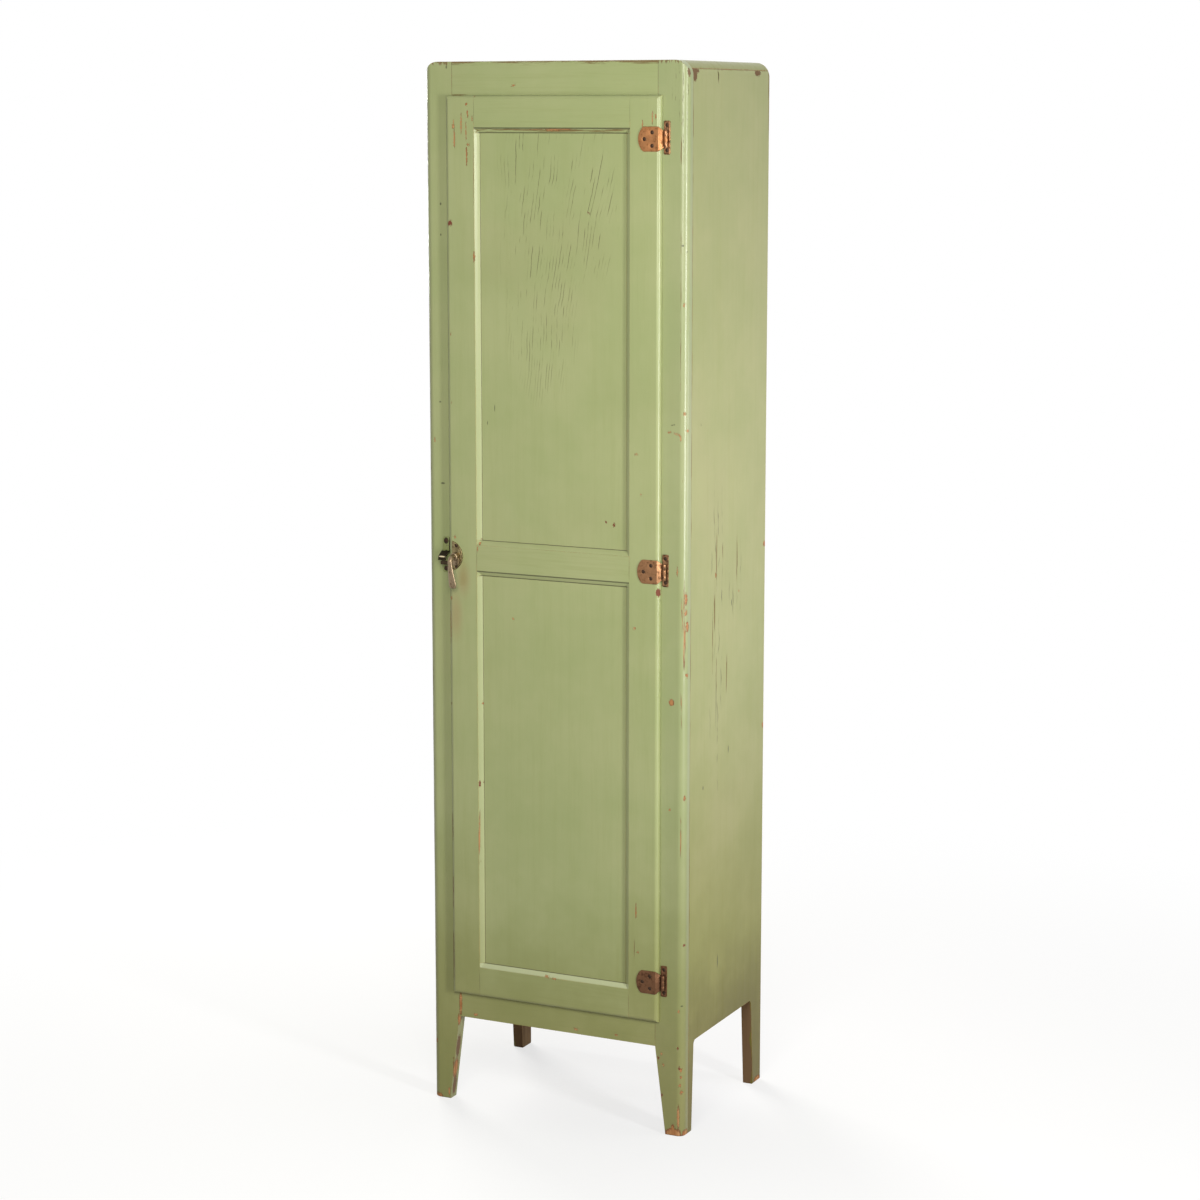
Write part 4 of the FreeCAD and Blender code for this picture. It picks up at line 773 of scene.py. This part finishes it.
COPPER = {
    "top": metal("bright copper plate", (0.35, 0.16, 0.066), (0.19, 0.082, 0.03),
                 (0.06, 0.026, 0.014), 0.44, 0.17),
    "middle": metal("dull copper plate", (0.28, 0.145, 0.07), (0.15, 0.075, 0.034),
                    (0.045, 0.022, 0.013), 0.42, 0.18),
    "bottom": metal("brown copper plate", (0.16, 0.08, 0.042), (0.095, 0.045, 0.023),
                    (0.03, 0.014, 0.01), 0.46, 0.2)}
COPPER_DARK = {
    "top": metal("tarnished copper strip", (0.3, 0.15, 0.075), (0.075, 0.038, 0.021),
                 (0.02, 0.01, 0.007), 0.34, 0.23, rubs=(1.1 * MM, 0.6)),
    "middle": metal("dull copper strip", (0.26, 0.14, 0.07), (0.075, 0.04, 0.023),
                    (0.02, 0.01, 0.007), 0.38, 0.25, rubs=(1.1 * MM, 0.55)),
    "bottom": COPPER["bottom"]}
COPPER_SLOT = {"top": "bright_copper", "middle": "dull_copper", "bottom": "brown_copper"}
SCREW_METAL = metal("dark screw", (0.06, 0.036, 0.024), (0.028, 0.017, 0.012),
                    (0.012, 0.008, 0.006), 0.5, 0.15)

for spot, level in HINGE_LEVELS.items():
    # Door leaf: a disc sawn straight at top, bottom and fold, drawn out over the lip and rolled
    leaf_front = DOOR_FACE - LEAF_T
    web_end = FOLD_X + WEB_RUN
    leaf = rod("hinge_door_leaf_" + spot + "_visual", LEAF_END_R, 96, FOLD_X - LEAF_W + LEAF_END_R, level,
               leaf_front, DOOR_FACE)
    saw((0, 0, level + LEAF_HALF_H), (0, 0, 1))
    saw((0, 0, level - LEAF_HALF_H), (0, 0, -1))
    saw((FOLD_X, 0, 0), (1, 0, 0))
    pick(leaf, lambda middle, edge: near(abs(middle.z - level), LEAF_HALF_H) and (
        middle.x < FOLD_X - LEAF_W / 2) and near(middle.y, DOOR_FACE - LEAF_T / 2), "EDGE")
    soften(LEAF_CORNER_R, 5)
    pick(leaf, lambda middle, edge: near(middle.y, leaf_front) and middle.x < FOLD_X - 0.1 * MM, "EDGE")
    soften(LEAF_RIM_R, 3)
    close(leaf)
    countersink(leaf, leaf_front, *[(x, level + rise) for x, rise, _ in DOOR_SCREWS])
    reopen(leaf)
    pick(leaf, lambda middle, face: face.normal.x > 0.9 and near(middle.x, FOLD_X))
    draw_out((WEB_RUN, WEB_RUN, 0.0))
    pick(leaf, at(x=web_end))
    grow((1.0, 1.0, NECK_HALF_H / LEAF_HALF_H), (0.0, 0.0, level))
    for x, y in ((FOLD_X, leaf_front), (web_end, leaf_front + WEB_RUN)):
        pick(leaf, at(x=x, y=y), "EDGE")
        bpy.ops.transform.translate(value=(FOLD_MITRE, 0.0, 0.0))
    for rise in (KNUCKLE_HALF_H, -KNUCKLE_HALF_H):
        pick(leaf, lambda middle, face: middle.x > web_end and face.normal.x > 0.9)
        saw((0, 0, level + rise), (0, 0, 1), keep=True, picked=True)
    pick(leaf, lambda middle, face: middle.x > web_end and face.normal.x > 0.9 and near(
        middle.z, level, KNUCKLE_HALF_H))
    draw_out((HINGE_X - web_end, 0.0, 0.0))
    grow((0.0, 1.0, 1.0), (HINGE_X, 0.0, 0.0))
    roll(18, LEAF_ROLL, (HINGE_X, HINGE_Y, 0.0))
    close(leaf, 0.22 * MM, 40.0)
    hang(leaf, "door", COPPER_SLOT[spot], COPPER[spot], "hinge_door_leaf_" + spot)

    # Frame leaf: a strip with round corners, and a knuckle rolled from it above and below
    strip_mid = level + FRAME_LEAF_UP
    strip = flat_strip(
        "hinge_frame_leaf_" + spot + "_visual", (HINGE_X - FRAME_LEAF_W / 2, HINGE_X + FRAME_LEAF_W / 2),
        FRAME_FACE - LEAF_T, (strip_mid - FRAME_LEAF_H / 2, strip_mid + FRAME_LEAF_H / 2),
        FRAME_LEAF_CORNER_R, HINGE_X, (strip_mid + FRAME_SCREW_RISE, strip_mid - FRAME_SCREW_RISE))
    reopen(strip)
    for low, high in (FRAME_KNUCKLES, [-rise for rise in reversed(FRAME_KNUCKLES)]):
        bpy.ops.mesh.primitive_cube_add(**block(
            (HINGE_X + BARREL_R - LEAF_T, HINGE_X + BARREL_R), (HINGE_Y, FRAME_FACE - LEAF_T / 2),
            (level + low, level + high)))
        pick(strip, lambda middle, face: near(middle.y, HINGE_Y) and level + low < middle.z < level + high)
        roll(16, FRAME_LEAF_ROLL, (HINGE_X, HINGE_Y, 0.0))
    close(strip, 0.2 * MM, 40.0)
    hang(strip, "case", COPPER_SLOT[spot], COPPER_DARK[spot], "hinge_frame_leaf_" + spot)

    # Pin: a rod with a small domed cap drawn out of its upper end
    pin = begin("hinge_pin_" + spot + "_visual", bpy.ops.mesh.primitive_cylinder_add, vertices=20,
                radius=PIN_R, depth=2 * FRAME_KNUCKLES[1], location=(HINGE_X, HINGE_Y, level))
    top = level + FRAME_KNUCKLES[1]
    for spread, lift in ((PIN_CAP_R / PIN_R, 0.0), (1.0, 0.6 * MM), (0.8, 0.35 * MM), (0.45, 0.2 * MM)):
        pick(pin, lambda middle, face: face.normal.z > 0.9 and near(middle.z, top))
        draw_out((0.0, 0.0, lift))
        top += lift
        grow((spread, spread, 1.0), (HINGE_X, HINGE_Y, top))
    close(pin)
    hang(pin, "case", COPPER_SLOT[spot], COPPER[spot], "hinge_pin_" + spot)


def screw_head(name):
    """One low domed head at the origin, its slot sawn across and sunk, facing the front."""
    rise = SCREW_DOME_R - math.sqrt(SCREW_DOME_R ** 2 - SCREW_R ** 2)
    head = begin(name, bpy.ops.mesh.primitive_uv_sphere_add, segments=32, ring_count=48,
                 radius=SCREW_DOME_R, rotation=(math.pi / 2, 0.0, 0.0),
                 location=(0.0, SCREW_DOME_R - rise, 0.0))
    saw((0, 0, 0), (0, 1, 0))
    pick(head, lambda middle, face: face.normal.y > 0.9)
    draw_out((0.0, SCREW_NECK, 0.0))
    grow((0.55, 1.0, 0.55), (0.0, 0.0, 0.0))
    for side in (1, -1):
        saw((0, 0, side * SLOT_HALF_W), (0, 0, 1), keep=True)
    pick(head, lambda middle, face: abs(middle.z) < SLOT_HALF_W and face.normal.y < -0.5)
    draw_out((0.0, SLOT_DEPTH, 0.0))
    close(head)
    return head


def set_screws(node, body, front, *seats):
    """Sets a head in each hole of a plate, given as x, z and turn, and joins the set."""
    heads = []
    for number, (x, z, turn) in enumerate(seats):
        head = screw_head("%s_%d" % (node, number))
        head.rotation_euler = (0.0, turn, 0.0)
        head.location = (x, front + SUNK, z)
        heads.append(head)
    unite(*heads)
    heads[0].name = node + "_visual"
    hang(heads[0], body, "screw_steel", SCREW_METAL, node)


set_screws("hinge_door_screws", "door", DOOR_FACE - LEAF_T, *[
    (x, level + rise, turn + level) for level in HINGE_LEVELS.values() for x, rise, turn in DOOR_SCREWS])
set_screws("hinge_frame_screws", "case", FRAME_FACE - LEAF_T, *[
    (HINGE_X, level + FRAME_LEAF_UP + rise, 3.0 * rise / FRAME_LEAF_H + level)
    for level in HINGE_LEVELS.values() for rise in (FRAME_SCREW_RISE, -FRAME_SCREW_RISE)])


# Latch plate: a half-oval of cast bronze, screwed to the door's left stile along the lip. A groove
# runs inside its rim, small beads follow the rim's curve, and two ribs spread from the pivot.
LATCH_X = -184.5 * MM
LATCH_Z = 988.0 * MM
PLATE_T = 2.0 * MM
PLATE_ROUND = 0.8 * MM
PLATE_FRONT = DOOR_FACE - PLATE_T
PLATE_STRAIGHT_X = -193.0 * MM
PLATE_R = 26.74 * MM
PLATE_CENTRE_X = -199.24 * MM
PLATE_SCREW_RISE = 18.5 * MM
GROOVE_IN = 3.3 * MM
GROOVE_R = 0.55 * MM
BEAD_IN = 1.7 * MM
BEAD_R = 0.62 * MM
BEAD_COUNT = 27
BEAD_SPREAD = math.radians(66)
RIB_X = (-183.0 * MM, -175.6 * MM)
RIB_PIVOT_X = -180.0 * MM
RIB_RISE = 5.2 * MM
RIB_HALF_W = 0.8 * MM
RIB_PROUD = 1.1 * MM
RIB_TURN = math.radians(38)
BRONZE = metal("latch bronze", (0.25, 0.2, 0.1), (0.11, 0.085, 0.04),
               (0.025, 0.02, 0.012), 0.33, 0.2, 0.75)

plate = rod("latch_plate_visual", PLATE_R, 128, PLATE_CENTRE_X, LATCH_Z,
            DOOR_FACE - PLATE_T + PLATE_ROUND, DOOR_FACE)
saw((PLATE_STRAIGHT_X, 0, 0), (-1, 0, 0))
pick(plate, lambda middle, face: face.normal.y < -0.9)
for lift, shrink in ((0.5, 0.992), (0.35, 0.985), (0.15, 0.975)):
    draw_out((0.0, -lift * PLATE_ROUND, 0.0))
    grow((shrink, 1.0, shrink), (LATCH_X, 0.0, LATCH_Z))
close(plate)
carve(plate, bpy.ops.mesh.primitive_torus_add, major_radius=PLATE_R - GROOVE_IN, minor_radius=GROOVE_R,
      major_segments=96, minor_segments=10, location=(PLATE_CENTRE_X, PLATE_FRONT, LATCH_Z),
      rotation=(math.pi / 2, 0.0, 0.0))
countersink(plate, PLATE_FRONT, (LATCH_X, LATCH_Z + PLATE_SCREW_RISE), (LATCH_X, LATCH_Z - PLATE_SCREW_RISE))
reopen(plate)
for number in range(BEAD_COUNT):
    turn = BEAD_SPREAD * (2 * number / (BEAD_COUNT - 1) - 1)
    bpy.ops.mesh.primitive_ico_sphere_add(subdivisions=2, radius=BEAD_R, location=(
        PLATE_CENTRE_X + (PLATE_R - BEAD_IN) * math.cos(turn), PLATE_FRONT + 0.15 * MM,
        LATCH_Z + (PLATE_R - BEAD_IN) * math.sin(turn)))
for side in (1, -1):
    rib_z = LATCH_Z + side * RIB_RISE
    bpy.ops.mesh.primitive_cube_add(**block(
        RIB_X, (PLATE_FRONT - RIB_PROUD, PLATE_FRONT + 0.3 * MM), (rib_z - RIB_HALF_W, rib_z + RIB_HALF_W)))
    bpy.ops.transform.rotate(value=side * RIB_TURN, orient_axis="Y",
                             center_override=(RIB_PIVOT_X, PLATE_FRONT, rib_z))
close(plate, 0.12 * MM, 40.0)
hang(plate, "door", "latch_bronze", BRONZE, "latch_plate")
set_screws("latch_plate_screws", "door", PLATE_FRONT, (LATCH_X, LATCH_Z + PLATE_SCREW_RISE, 0.8),
           (LATCH_X, LATCH_Z - PLATE_SCREW_RISE, 2.4))


# Spindle and washer: a turned pin set in the door, its head peened over so that the lever cannot come
# off, and a thin spring washer that keeps the lever clear of the plate.
SPINDLE_R = 3.0 * MM
SPINDLE_HEAD_R = 5.0 * MM
SPINDLE_BACK = -157.25 * MM
LEVER_BACK = -165.15 * MM
BOSS_R = 7.0 * MM
BOSS_FRONT = LEVER_BACK - 6.0 * MM
HEAD_BACK = BOSS_FRONT - 0.1 * MM
spindle = rod("latch_spindle_visual", SPINDLE_R, 32, LATCH_X, LATCH_Z, HEAD_BACK, SPINDLE_BACK)
front = HEAD_BACK
for spread, lift in ((SPINDLE_HEAD_R / SPINDLE_R, 0.0), (1.0, 0.7), (0.9, 0.45), (0.72, 0.35), (0.4, 0.2)):
    pick(spindle, lambda middle, face: face.normal.y < -0.9 and near(middle.y, front))
    draw_out((0.0, -lift * MM, 0.0))
    front -= lift * MM
    grow((spread, 1.0, spread), (LATCH_X, front, LATCH_Z))
close(spindle)
hang(spindle, "door", "latch_bronze", BRONZE, "latch_spindle")
dress(BRONZE, "latch_washer")


# Lever: one bronze casting with a round boss that caps the spindle's head, a tongue to the left that
# turns up behind the keeper's hood, and a drop handle whose neck sweeps forward and down and widens to
# a round tip. Hands have kept the handle clean; the tongue is dark, partly from tarnish and partly
# as painted shade below the hood.
TONGUE_FRONT = -168.75 * MM
TONGUE_END_X = LATCH_X - 29.0 * MM
TONGUE_TOP = LATCH_Z - 9.2 * MM
TONGUE_LOW = LATCH_Z - 15.5 * MM
CAP_FRONT = -175.0 * MM
CAP_WALL = 1.5 * MM
NECK_HALF_W = 4.8 * MM
NECK_LOW = LATCH_Z - 2.6 * MM
NECK_TOP = LATCH_Z + 5.4 * MM
PLAY = 0.1 * MM
HANDLE_STEPS = ((3.2, 0.1, 1.0, 0.86), (8.5, 0.6, 1.08, 0.84), (9.5, 1.2, 1.13, 0.86), (9.5, 1.6, 1.16, 0.9),
                (8.4, 1.5, 1.13, 0.95), (4.6, 0.8, 0.97, 0.95), (2.5, 0.4, 0.75, 0.8), (0.7, 0.1, 0.5, 0.6))
lever = slab("latch_lever_visual", (LATCH_X - NECK_HALF_W, LATCH_X + NECK_HALF_W),
             (CAP_FRONT - 1.2 * MM, CAP_FRONT + 0.6 * MM), (NECK_LOW, NECK_TOP))
pick(lever, lambda middle, face: face.normal.y < -0.9)
draw_out((0.0, -0.7 * MM, -0.2 * MM))
roll(6, -84, (LATCH_X, CAP_FRONT - 1.9 * MM, NECK_LOW - 6.0 * MM), (1.0, 0.0, 0.0))
for drop, back, wider, thinner in HANDLE_STEPS:
    draw_out((0.3 * back * MM, back * MM, -drop * MM))
    ends = [corner.co for corner in bmesh.from_edit_mesh(lever.data).verts if corner.select]
    grow((wider, thinner, 1.0), sum(ends, Vector()) / len(ends))
close(lever)
round_off = lever.modifiers.new("cast round", "SUBSURF")
round_off.levels = 2
round_off.render_levels = 2
bpy.ops.object.modifier_apply(modifier=round_off.name)

arm = slab("latch_tongue", (LATCH_X - BOSS_R, LATCH_X + BOSS_R), (TONGUE_FRONT, LEVER_BACK),
           (TONGUE_LOW, LATCH_Z - 3.3 * MM))
saw((0, 0, TONGUE_TOP), (0, 0, 1), keep=True)
pick(arm, lambda middle, face: face.normal.x < -0.9 and middle.z < TONGUE_TOP)
for reach in (8.0, 10.0, 4.0):
    draw_out((-reach * MM, 0.0, 0.0))
pick(arm, lambda middle, edge: near(middle.x, TONGUE_END_X) and abs((
    edge.verts[0].co - edge.verts[1].co).y) > 1.0 * MM, "EDGE")
soften(2.0 * MM, 4)
pick(arm, at(x=LATCH_X + BOSS_R, z=TONGUE_LOW), "EDGE")
soften(3.0 * MM, 4)
close(arm, 0.6 * MM)

boss = rod("latch_boss", BOSS_R, 48, LATCH_X, LATCH_Z, CAP_FRONT, LEVER_BACK)
pick(boss, lambda middle, face: face.normal.y > 0.9)
bpy.ops.mesh.inset(thickness=BOSS_R - SPINDLE_R - PLAY, depth=0.0)
draw_out((0.0, BOSS_FRONT - LEVER_BACK, 0.0))
draw_out((0.0, 0.0, 0.0))
room = (SPINDLE_HEAD_R + 0.3 * MM) / (SPINDLE_R + PLAY)
grow((room, 1.0, room), (LATCH_X, 0.0, LATCH_Z))
draw_out((0.0, CAP_FRONT + CAP_WALL - BOSS_FRONT, 0.0))
pick(boss, at(y=CAP_FRONT), "EDGE")
soften(2.2 * MM, 5)
close(boss)
unite(lever, arm, boss)
bpy.ops.object.shade_smooth_by_angle(angle=math.radians(40))
# The tongue, left of the boss, is darkened: tarnish, and painted shade where it hangs below the hood.
LEVER_BRONZE = metal("handled bronze", (0.27, 0.2, 0.125), (0.15, 0.105, 0.06),
                     (0.03, 0.02, 0.012), 0.36, 0.16, 0.05,
                     handled_and_shaded=(LATCH_X - 9.0 * MM, LATCH_X - 6.0 * MM))
hang(lever, "lever", "latch_bronze", LEVER_BRONZE, "latch_lever")


# Keeper: a narrow bronze strip on the left stile with a bent hood, open at both sides and below.
# Green paint has been brushed over most of the strip; the hood is dark, and its fold is rubbed bright and
# carries a painted highlight.
KEEPER_X = (-216.5 * MM, -202.5 * MM)
KEEPER_MID_X = sum(KEEPER_X) / 2
KEEPER_FRONT = FRAME_FACE - 1.6 * MM
KEEPER_HALF_H = 31.0 * MM
KEEPER_CORNER_R = 3.0 * MM
KEEPER_SCREW_RISE = 24.2 * MM
HOOD_FRONT = -170.95 * MM
HOOD_T = 1.8 * MM
HOOD_LOW = LATCH_Z - 8.0 * MM
HOOD_SHOULDER = LATCH_Z - 2.8 * MM
HOOD_SLOPE = 9.2 * MM
HOOD_ROOT = -153.55 * MM
KEEPER_BRONZE = metal("keeper bronze", (0.66, 0.57, 0.38), (0.03, 0.022, 0.013),
                      (0.012, 0.008, 0.006), 0.4, 0.5, rubs=(0.9 * MM, 0.0),
                      brushed_over=(-157.5 * MM, -155.5 * MM),
                      # The bright band along the fold is rubbed metal and a painted highlight.
                      scraped_and_highlit=[((-209.5, -170.6, 986.6), (8, 1.6, 1.7))],
                      chipped=marks(-154, 3, (-209.5, 1012.2, 6, 7), (-209.5, 963.8, 6, 6),
                                    (-203, 1004, 1.4, 18)))
keeper = flat_strip(
    "latch_keeper_visual", KEEPER_X, KEEPER_FRONT, (LATCH_Z - KEEPER_HALF_H, LATCH_Z + KEEPER_HALF_H),
    KEEPER_CORNER_R, KEEPER_MID_X, (LATCH_Z + KEEPER_SCREW_RISE, LATCH_Z - KEEPER_SCREW_RISE))
hood = slab("latch_hood", KEEPER_X, (HOOD_FRONT, HOOD_FRONT + HOOD_T), (HOOD_LOW, HOOD_SHOULDER))
pick(hood, at(y=HOOD_FRONT, z=HOOD_SHOULDER), "EDGE")
bpy.ops.transform.translate(value=(0.0, 0.0, HOOD_T))
pick(hood, lambda middle, face: face.normal.z > 0.5)
draw_out((0.0, HOOD_ROOT - HOOD_FRONT - HOOD_T, HOOD_SLOPE))
pick(hood, at(y=HOOD_ROOT - HOOD_T), "EDGE")
bpy.ops.transform.translate(value=(0.0, HOOD_T, HOOD_T))
pick(hood, at(y=HOOD_FRONT, z=HOOD_SHOULDER + HOOD_T), "EDGE")
soften(1.2 * MM, 4)
close(hood, 0.3 * MM)
unite(keeper, hood)
bpy.ops.object.shade_smooth_by_angle(angle=math.radians(40))
hang(keeper, "case", "keeper_bronze", KEEPER_BRONZE, "latch_keeper")
set_screws("latch_keeper_screws", "case", KEEPER_FRONT, (KEEPER_MID_X, LATCH_Z + KEEPER_SCREW_RISE, 1.9),
           (KEEPER_MID_X, LATCH_Z - KEEPER_SCREW_RISE, 0.4))


# Fasteners of the case: wooden dowels between the front frame and the side boards, steel screws
# through the cleats and up into the top, and cut nails in the back.
dress(SCREW_METAL, "cleat_screws", "top_screws", "back_nails")
dress(old_pine("dowel pine", ACROSS), "frame_dowels")


# Room: a plain pale floor under soft studio light, with a white background behind. The floor is
# white to the camera where it is lit, and keeps the cabinet's shadow.
FLOOR_WHITE = (0.95, 0.95, 0.95)
FLOOR_BOUNCE = (0.35, 0.33, 0.28)
ROOM_COLOUR = (1.0, 0.95, 0.84)
ROOM_LIGHT = 0.1
SHADOW_SHARE = 0.28


def seen_white(tree):
    """1 where the camera, a reflection or a view through glass sees the surface straight on."""
    rays = put(tree, "ShaderNodeLightPath").outputs
    return most(rays["Is Camera Ray"], most(rays["Is Glossy Ray"], rays["Is Transmission Ray"]))


bpy.ops.object.select_all(action="DESELECT")
bpy.ops.mesh.primitive_plane_add(size=30.0, location=(0.0, 0.0, 0.0))
floor = bpy.context.object
floor.name = "studio_floor"
pale, spot = blank("pale floor")
far = fade(vector("LENGTH", spot), 0.5, 2.2)
white_share = scaled(far, SHADOW_SHARE, 1.0 - SHADOW_SHARE)
straight = put(pale.node_tree, "ShaderNodeLightPath").outputs["Is Camera Ray"]
matt = feed("ShaderNodeBsdfDiffuse", {"Color": tint(straight, FLOOR_BOUNCE, FLOOR_WHITE)})
lit = put(pale.node_tree, "ShaderNodeEmission", {"Color": WHITE, "Strength": 1.0})
both = feed("ShaderNodeMixShader", {
    0: times(seen_white(pale.node_tree), white_share), 1: matt.outputs[0], 2: lit.outputs[0]})
feed("ShaderNodeOutputMaterial", {"Surface": both.outputs[0]})
floor.data.materials.append(pale)

world = bpy.data.worlds.new("white studio")
bpy.context.scene.world = world
world.use_nodes = True
tree = world.node_tree
tree.nodes.clear()
white = put(tree, "ShaderNodeBackground", {"Color": WHITE, "Strength": 1.0})
dim = put(tree, "ShaderNodeBackground", {"Color": ROOM_COLOUR, "Strength": ROOM_LIGHT})
sky = feed("ShaderNodeMixShader", {0: seen_white(tree), 1: dim.outputs[0], 2: white.outputs[0]})
feed("ShaderNodeOutputWorld", {"Surface": sky.outputs[0]})


def softbox(name, place, aim, width, height, watts, colour):
    """Rectangular lamp that looks at a point."""
    lamp = bpy.data.lights.new(name, "AREA")
    lamp.shape = "RECTANGLE"
    lamp.size = width
    lamp.size_y = height
    lamp.energy = watts
    lamp.color = colour
    held = bpy.data.objects.new(name, lamp)
    bpy.context.scene.collection.objects.link(held)
    held.location = place
    held.visible_camera = False
    held.rotation_euler = (Vector(aim) - Vector(place)).to_track_quat("-Z", "Y").to_euler()


softbox("key softbox", (2.81, -1.32, 1.12), (0.1, 0.0, 1.0), 0.36, 1.44, 63.0, (0.98, 0.98, 1.0))
softbox("side softbox", (1.0, 0.2, 1.08), (0.245, 0.05, 1.08), 0.5, 0.5, 2.0, (1.0, 0.96, 1.25))
softbox("front softbox", (0.8, -2.3, 1.9), (0.0, 0.0, 1.2), 1.1, 1.1, 38.5, (1.0, 0.99, 0.91))
softbox("top softbox", (0.0, 0.2, 3.6), (0.0, 0.2, 0.0), 0.6, 0.6, 24.0, (1.0, 0.985, 0.94))
softbox("back softbox", (-2.3, 2.1, 1.9), (-0.1, 0.1, 0.9), 1.4, 1.4, 95.0, (1.0, 0.985, 0.94))

# Camera at the photograph's viewing angle
eye = bpy.data.cameras.new("camera")
eye.sensor_width = 36.0
eye.lens = 86.33
camera = bpy.data.objects.new("camera", eye)
bpy.context.scene.collection.objects.link(camera)
camera.location = (2.1895, -4.4795, 1.7452)
camera.rotation_euler = Vector((-0.4310, 0.8867, -0.1672)).to_track_quat("-Z", "Y").to_euler()
bpy.context.scene.camera = camera
bpy.context.scene.view_settings.view_transform = "Standard"
